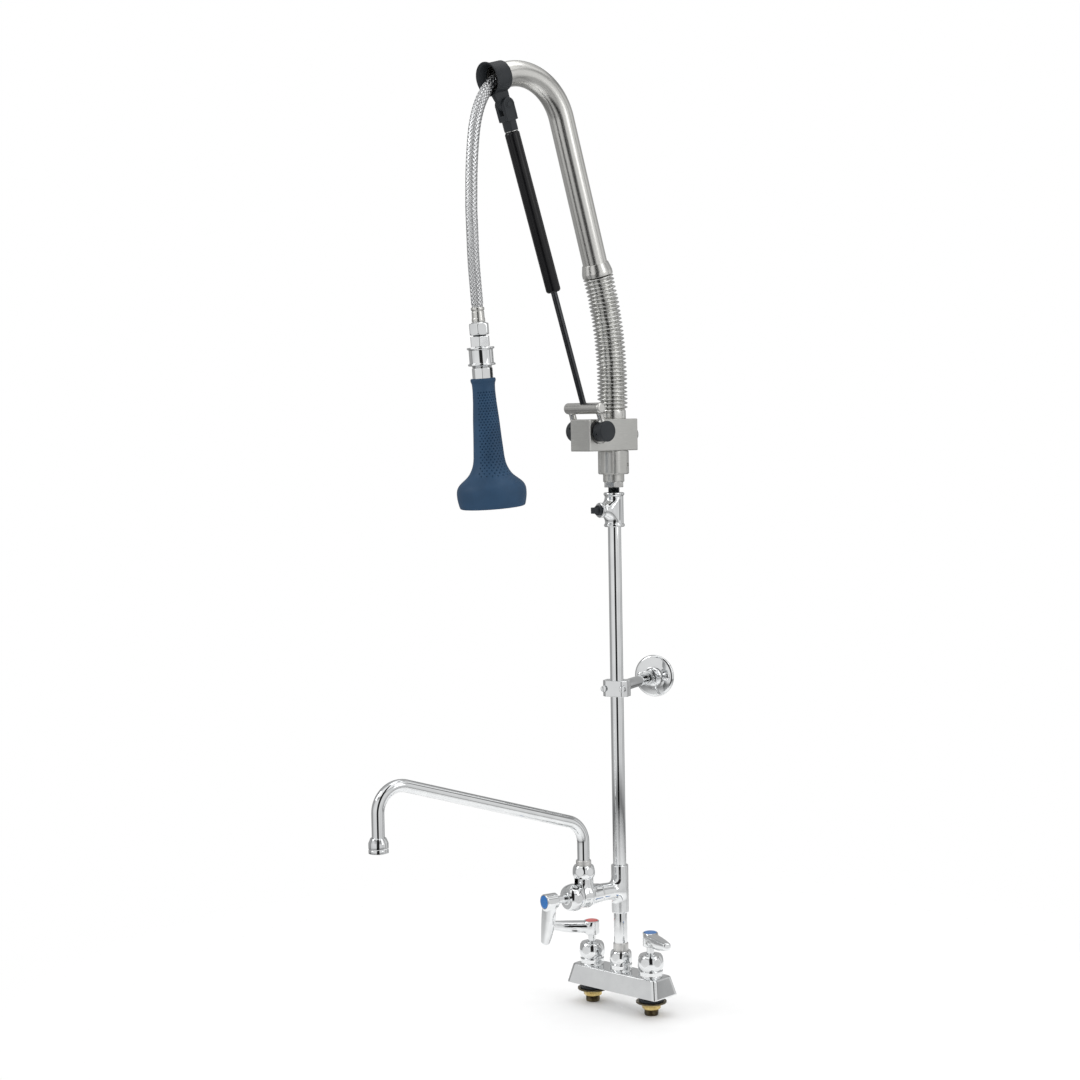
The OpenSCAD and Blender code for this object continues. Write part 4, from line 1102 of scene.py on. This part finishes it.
# ---------- knobs, bail and strut ----------
def knob_shape(p):
    x, y, z = p.T
    d = rod(p, (0, 0, 19.3), (0, 0, 34.6), 13.35, edge=0.6)
    d = smax(d, np.hypot(x, y) + z - 46.6, 0.4)
    return drill(d, p, (2.7, -8.6, 26), (5.1, -16.2, 26), 1.4)


knob_shell = nets(knob_shape, (-13.4, -13.4, 19.3), (13.4, 13.4, 34.6), 0.6)
build("hinge_knob_pair", [moved(knob_shell, HINGE @ turn("y", 90)),
      moved(knob_shell, HINGE @ turn("y", -90))], BLACK, "bail", ["hinge_knobs"], sharp=40)


def bail_shape(p):
    x, y, z = p.T
    side = np.stack([np.abs(x), y, z], 1)
    legs = rod(side, (27, 0, 5.4), (27, 0, 32), 4.3, edge=0.3)
    bar = rod(p, (-34, 0, 31), (34, 0, 31), 7.2, edge=2.6)
    d = smin(legs, bar, 1.0)
    foot = rod(side, (27, 0, 12.4), (27, 0, 15.0), 4.9, edge=0.5)
    return smin(d, foot, 0.4)


build("bail_bar", [nets(bail_shape, (-34, -7.2, 5.4), (34, 7.2, 38.2), 0.6)], TUBE_STEEL, "bail", ["bail"],
      at=STRUT, sharp=45)
build("rod", [lathe([(0, 30), (4, 30), (4, 207.5), (0, 207.5)], 64)], ROD_STEEL, "bail", ["strut_rod"],
      at=STRUT)
build("gas_cylinder", [lathe([(4.2, 187), (5.2, 185.7), (7.8, 185.7), (9.35, 187.9), (9.35, 388.6),
      (7.9, 390.7), (7, 390.9), (7, 392.7), (4.2, 392.7)], 96, 0.5),
      lathe([(0, 386), (4.25, 386), (4.25, 392.6), (0, 392.6)], 32)], STRUT_BLACK, "strut",
      ["strut_cylinder"], at=STRUT)


def fork_shape(p):
    x, y, z = p.T
    from_eye = np.hypot(y, z - 424.5)
    shank = np.maximum(hexagon(p, 8.4), np.abs(z - 398.9) - 6.3)
    shank = smax(shank, np.hypot(x, y) - 9.3, 0.5)
    body = block(p, (0, 0, 412), (9, 8.5, 7.6), 0.8)
    arms = np.maximum(from_eye - 8.5, np.abs(x) - 9)
    arms = np.minimum(arms, block(p, (0, 0, 417), (9, 8.5, 8), 0.5))
    d = np.minimum(smin(shank, body, 0.8), arms)
    d = smax(d, -block(p, (0, 0, 424), (3.9, 12, 12), 0.4), 0.4)
    # shallow panel on each arm, inside a raised border
    panel = np.minimum(from_eye - 6.3, np.maximum(np.abs(y) - 6.3, np.abs(z - 416.4) - 8.2))
    panel = np.maximum(panel, np.abs(np.abs(x) - 9.2) - 0.8)
    d = smax(d, -np.maximum(panel, 4.6 - from_eye), 0.3)
    return np.maximum(d, 3.05 - from_eye)


fork = nets(fork_shape, (-9.3, -9.3, 392.7), (9.3, 9.3, 433), 0.5)
build("fork", [fork], BLACK, "strut", ["clevis_fork"], at=STRUT, sharp=45)
build("fork_washer", [lathe([(7.0, 391.2), (8.7, 391.2), (8.7, 392.4), (7.0, 392.4)], 64, 0.3)], STEM_STEEL,
      "strut", at=STRUT)

# ---------- spray valve ----------
build("adaptor_neck", [lathe([(0, 33.4), (8, 33.4), (8, 36.4), (0, 36.4)], 64)], THREAD, "hose", at=VALVE)
build("adaptor", [hex_nut(11.3, 35.6, 47.9, 5, 0.8, 0.49),
      lathe([(4.6, 47), (7, 47), (7, 63.4), (4.6, 63.4)])], CHROME, "hose", ["hex_adaptor"], at=VALVE)
SLEEVE = [(7.4, 48.9), (16.4, 48.9), (17, 49.4), (17, 50.8), (16.4, 51.4), (15.2, 51.8), (15, 52.6),
          (15, 67.6), (15.2, 68.4), (16.4, 68.8), (17, 69.4), (17, 70.8), (16.4, 71.4), (12.4, 71.8),
          (11.9, 73.9), (7.4, 73.9)]
build("sleeve", [lathe(SLEEVE, 128, 0.5)], CHROME, "valve", ["swivel_sleeve"], at=VALVE)


def octagon(a, z):
    off = facet(a + 0.02 - math.pi / 8, 8)
    turned_off = 11.7 + 1.2 * math.sqrt(min(1.0, max(z - 74, 0) / 1.2) + 1e-9)
    return np.minimum(11.9 / np.cos(off), turned_off)


build("valve_neck", [polar(octagon, [74, 74.1, 74.4, 75, 75.6, 80, 87.8], 128, 7.5)], CHROME, "valve",
      at=VALVE)
build("valve_tube", [lathe([(4.5, 86), (9.9, 86), (9.9, 226), (4.5, 226)], 64)], CHROME, "valve",
      ["valve_body"], at=VALVE)
GRIP_TOP = 87
GRIP = [(14.8, 0), (15.6, 1.2), (15.6, 3.4), (14.5, 6), (14.1, 9), (14, 16), (14.6, 30), (16.2, 50),
        (17.6, 75), (19.2, 98), (20.3, 105), (22, 110), (24.4, 115), (27.6, 119.6), (31.4, 123),
        (35.2, 126), (38.6, 129), (41.2, 132.2), (42.7, 136), (43.2, 140), (43, 146), (42.4, 150),
        (41.6, 154), (40.8, 157)]
BELL_LIP = [(40.2, 158.4), (39.2, 159), (36.4, 159), (35.4, 158.2), (35.02, 156.6), (35.02, 138),
            (9.92, 137), (9.92, 0)]


def grip_shell():
    """The moulded grip: a smooth bell, rows of small dimples on two sides, and a slot for the trigger."""
    sides, slot_r, slot_half, slot_end = 512, 9.95, 6.8, 103
    row_pitch, spacing, dimple_r, dimple_deep, last_row = 3.3, 4.58, 1.15, 1.35, 31
    outline = np.array(rounded(GRIP, 3.0))
    angle = angles(sides)
    seen = (180 - np.degrees(angle) + 180) % 360 - 180
    panel = ((seen > -34) & (seen < 140)) | ((seen > -140) & (seen < -75))
    rows = []
    for z in np.arange(0, 157.01, 0.32):
        smooth = np.interp(z, outline[:, 1], outline[:, 0])
        r = np.full(sides, smooth)
        # dimples stand in staggered rows, evenly spread round the grip
        row = (z - 17) / row_pitch
        for k in (math.floor(row), math.floor(row) + 1):
            if 0 <= k <= last_row and 15.5 < z < 122:
                off = (angle * 17.5 / spacing + 0.5 * (k % 2)) % 1
                dist = np.hypot(np.minimum(off, 1 - off) * spacing * smooth / 17.5, (row - k) * row_pitch)
                dent = np.where(panel, dimple_deep * np.clip(1 - (dist / dimple_r) ** 2, 0, 1), 0)
                r = np.minimum(r, smooth - dent)
        if z < slot_end:
            half = math.asin(min(1.0, slot_half / r.min()))
            r = np.where(np.abs(facet(angle, 1)) < half, np.minimum(r, slot_r), r)
        rows.append(np.stack([r * np.cos(angle), r * np.sin(angle), np.full(sides, GRIP_TOP + z)], 1))
    rows += [circle(r, GRIP_TOP + z, sides) for r, z in BELL_LIP]
    return grid(rows, loop=True)


build("grip", [grip_shell()], GRIP_BLUE, "valve", ["spray_grip"], at=VALVE, sharp=50)


def face_shape(p):
    x, y, z = p.T
    r = np.hypot(x, y)
    d = smax(r - np.interp(z, [226, 238], [15, 34.9]), np.abs(z - 234.5) - 8.5, 0.6)
    for ring, count in ((10, 6), (18, 12), (26, 18)):
        from_jet = np.hypot(ring * np.sin(facet(np.arctan2(y, x), count)), r - ring)
        d = np.maximum(d, -np.maximum(from_jet - 1.0, 240.2 - z))
    return np.minimum(d, np.maximum(np.abs(r - 31) - 0.7, np.abs(z - 243) - 0.8))


build("jet_face", [nets(face_shape, (-35, -35, 226), (35, 35, 243.8), 0.75)], FACE, "valve", ["spray_face"],
      at=VALVE, sharp=40)


TRIGGER_PIN = (18.5, 97)


def trigger_shape(p):
    """The squeeze lever: a curved blade that widens to a finger pad and ends in a round pivot."""
    x, y, z = p.T
    from_pin = np.hypot(x - TRIGGER_PIN[0], z - TRIGGER_PIN[1])
    middle = np.interp(z, [94, 100, 120, 130, 160, 186], [19, 19.6, 23.6, 24.4, 27.4, 31.6])
    thick = np.interp(z, [94, 100, 130, 160, 187], [2.6, 3.0, 2.8, 2.5, 2.3])
    width = np.interp(z, [94, 118, 132, 150, 187], [3.3, 3.3, 5.4, 5.9, 5.9])
    blade = np.maximum(smax(np.abs(x - middle) - thick, np.abs(y) - width, 1.6), np.abs(z - 140.4) - 46.2)
    pivot = np.maximum(from_pin - 4, np.abs(y) - 3.35)
    return np.maximum(smin(blade, pivot, 1.2), 2.05 - from_pin)


build("squeeze_lever", [nets(trigger_shape, (13, -6, 93), (35, 6, 187), 0.6)], BLACK, "trigger",
      ["trigger"], at=VALVE, sharp=45)


def ear_shape(p):
    """One of the two lugs that hold the trigger's pin."""
    pin_hole = 2.05 - np.hypot(p[:, 0] - TRIGGER_PIN[0], p[:, 2] - TRIGGER_PIN[1])
    lug = smax(block(p, (15.5, 5.2, 96.5), (6.9, 1.45, 6.4), 0.8), pin_hole, 0.2)
    return np.maximum(lug, 9.6 - np.hypot(p[:, 0], p[:, 1]))


ear = nets(ear_shape, (8, 3.7, 90), (22.4, 6.7, 103), 0.4)
mirrored_ear = moved(ear, np.diag([1.0, -1.0, 1.0, 1.0]))
build("trigger_ears", [ear, mirrored_ear], CHROME, "valve", at=VALVE, sharp=45)


# ---------- stage ----------
# name, place and size in metres, power in watts
LAMPS = (("key", (-1.8, -2.2, 2.4), (1.2, 1.6), 14),
         ("side", (2.4, 0.2, 1.8), (0.8, 2.0), 7),
         ("top", (0.0, 0.3, 3.0), (1.6, 1.6), 8))
# how bright the tent is round its side, by degrees, and up its height, from 0 to 1
AROUND = ((-180, 0.5), (-150, 0.36), (-104, 0.42), (-96, 0.16), (-90, 0.66), (-60, 0.84), (-21, 0.86),
          (-15, 0.02), (11, 0.02), (16, 0.84), (58, 0.72), (82, 0.86), (88, 0.3), (93, 0.3), (97, 0.75),
          (112, 0.7), (130, 0.4), (180, 0.45))
UPWARD = ((0.0, 0.5), (0.3, 0.62), (0.37, 0.3), (0.40, 0.9), (0.55, 1.0), (0.74, 0.95), (0.8, 0.3),
          (0.83, 1.3), (1.0, 1.2))


def stage():
    """A pale floor that fades into a white room, soft lights, and a tent for the metal to reflect."""
    low = cad_box[0][2]
    mesh = bpy.data.meshes.new("floor")
    verts = np.vstack([circle(r, 0, 96) for r in (0.001, 6.0)])
    faces = [(i, (i + 1) % 96, 96 + (i + 1) % 96, 96 + i) for i in range(96)]
    mesh.from_pydata([tuple(v) for v in verts], [], faces)
    floor = bpy.data.objects.new("floor", mesh)
    floor.location = (0, 0, low - 0.0005)
    bpy.context.scene.collection.objects.link(floor)
    n = Nodes("floor_white")
    where = n.add("ShaderNodeTexCoord").outputs["Object"]
    away = n.add("ShaderNodeVectorMath", _operation="LENGTH", i0=where).outputs["Value"]
    speck = n.noise(where, 30, 3)
    colour = n.ramp(speck, (0.3, grey(0.93)), (0.7, grey(0.95)))
    n.set(colour=colour, rough=0.6, specular=0.15)
    clear = n.add("ShaderNodeBsdfTransparent")
    mix = n.add("ShaderNodeMixShader", Fac=n.range(away, 0.25, 0.85, 0.0, 1.0))
    n.tree.links.new(n.shader.outputs[0], mix.inputs[1])
    n.tree.links.new(clear.outputs[0], mix.inputs[2])
    mesh.materials.append(n.glow(mix.outputs[0]))
    world = bpy.data.worlds.new("room")
    bpy.context.scene.world = world
    world.use_nodes = True
    background = world.node_tree.nodes["Background"]
    background.inputs["Color"].default_value = (1, 1, 1, 1)
    background.inputs["Strength"].default_value = 1.0
    for name, at, size, power in LAMPS:
        data = bpy.data.lights.new(name, "AREA")
        data.shape, data.size, data.size_y, data.energy = "RECTANGLE", *size, power
        lamp = bpy.data.objects.new(name, data)
        lamp.location = at
        lamp.rotation_euler = (Vector((0, -0.1, 0.6)) - Vector(at)).to_track_quat("-Z", "Y").to_euler()
        bpy.context.scene.collection.objects.link(lamp)
    polar_angles = np.linspace(0.001, math.pi - 0.001, 33)
    rings = [circle(8000 * math.sin(t), 8000 * math.cos(t), 64) for t in polar_angles]
    shell = build("tent", [grid(rings)], tent_material(), None)
    shell.rotation_euler = (0, 0, math.radians(43.1 - 90))
    shell.visible_camera = shell.visible_shadow = shell.visible_diffuse = False
    shell.visible_transmission = False


def tent_material():
    """The tent that only reflections see: pale cloth, a dark slit where the viewer stands, dimmer behind."""
    n = Nodes("tent_cloth")
    x, y, z = n.add("ShaderNodeSeparateXYZ", Vector=n.add("ShaderNodeTexCoord").outputs["Object"]).outputs
    around = n.math("ADD", n.math("DIVIDE", n.math("ARCTAN2", y, x), 2 * math.pi), 0.5)
    cloth = n.ramp(around, *((0.5 + degrees / 360, grey(value)) for degrees, value in AROUND))
    height = n.math("DIVIDE", z, 8.0)
    lift = n.ramp(n.range(height, -1.0, 1.0, 0.0, 1.0), *((at, grey(value)) for at, value in UPWARD))
    tone = n.add("ShaderNodeVectorMath", _operation="MULTIPLY", i0=cloth, i1=lift).outputs[0]
    return n.glow(n.add("ShaderNodeEmission", Color=tone).outputs[0])


bpy.context.scene.view_settings.view_transform = "Standard"
stage()
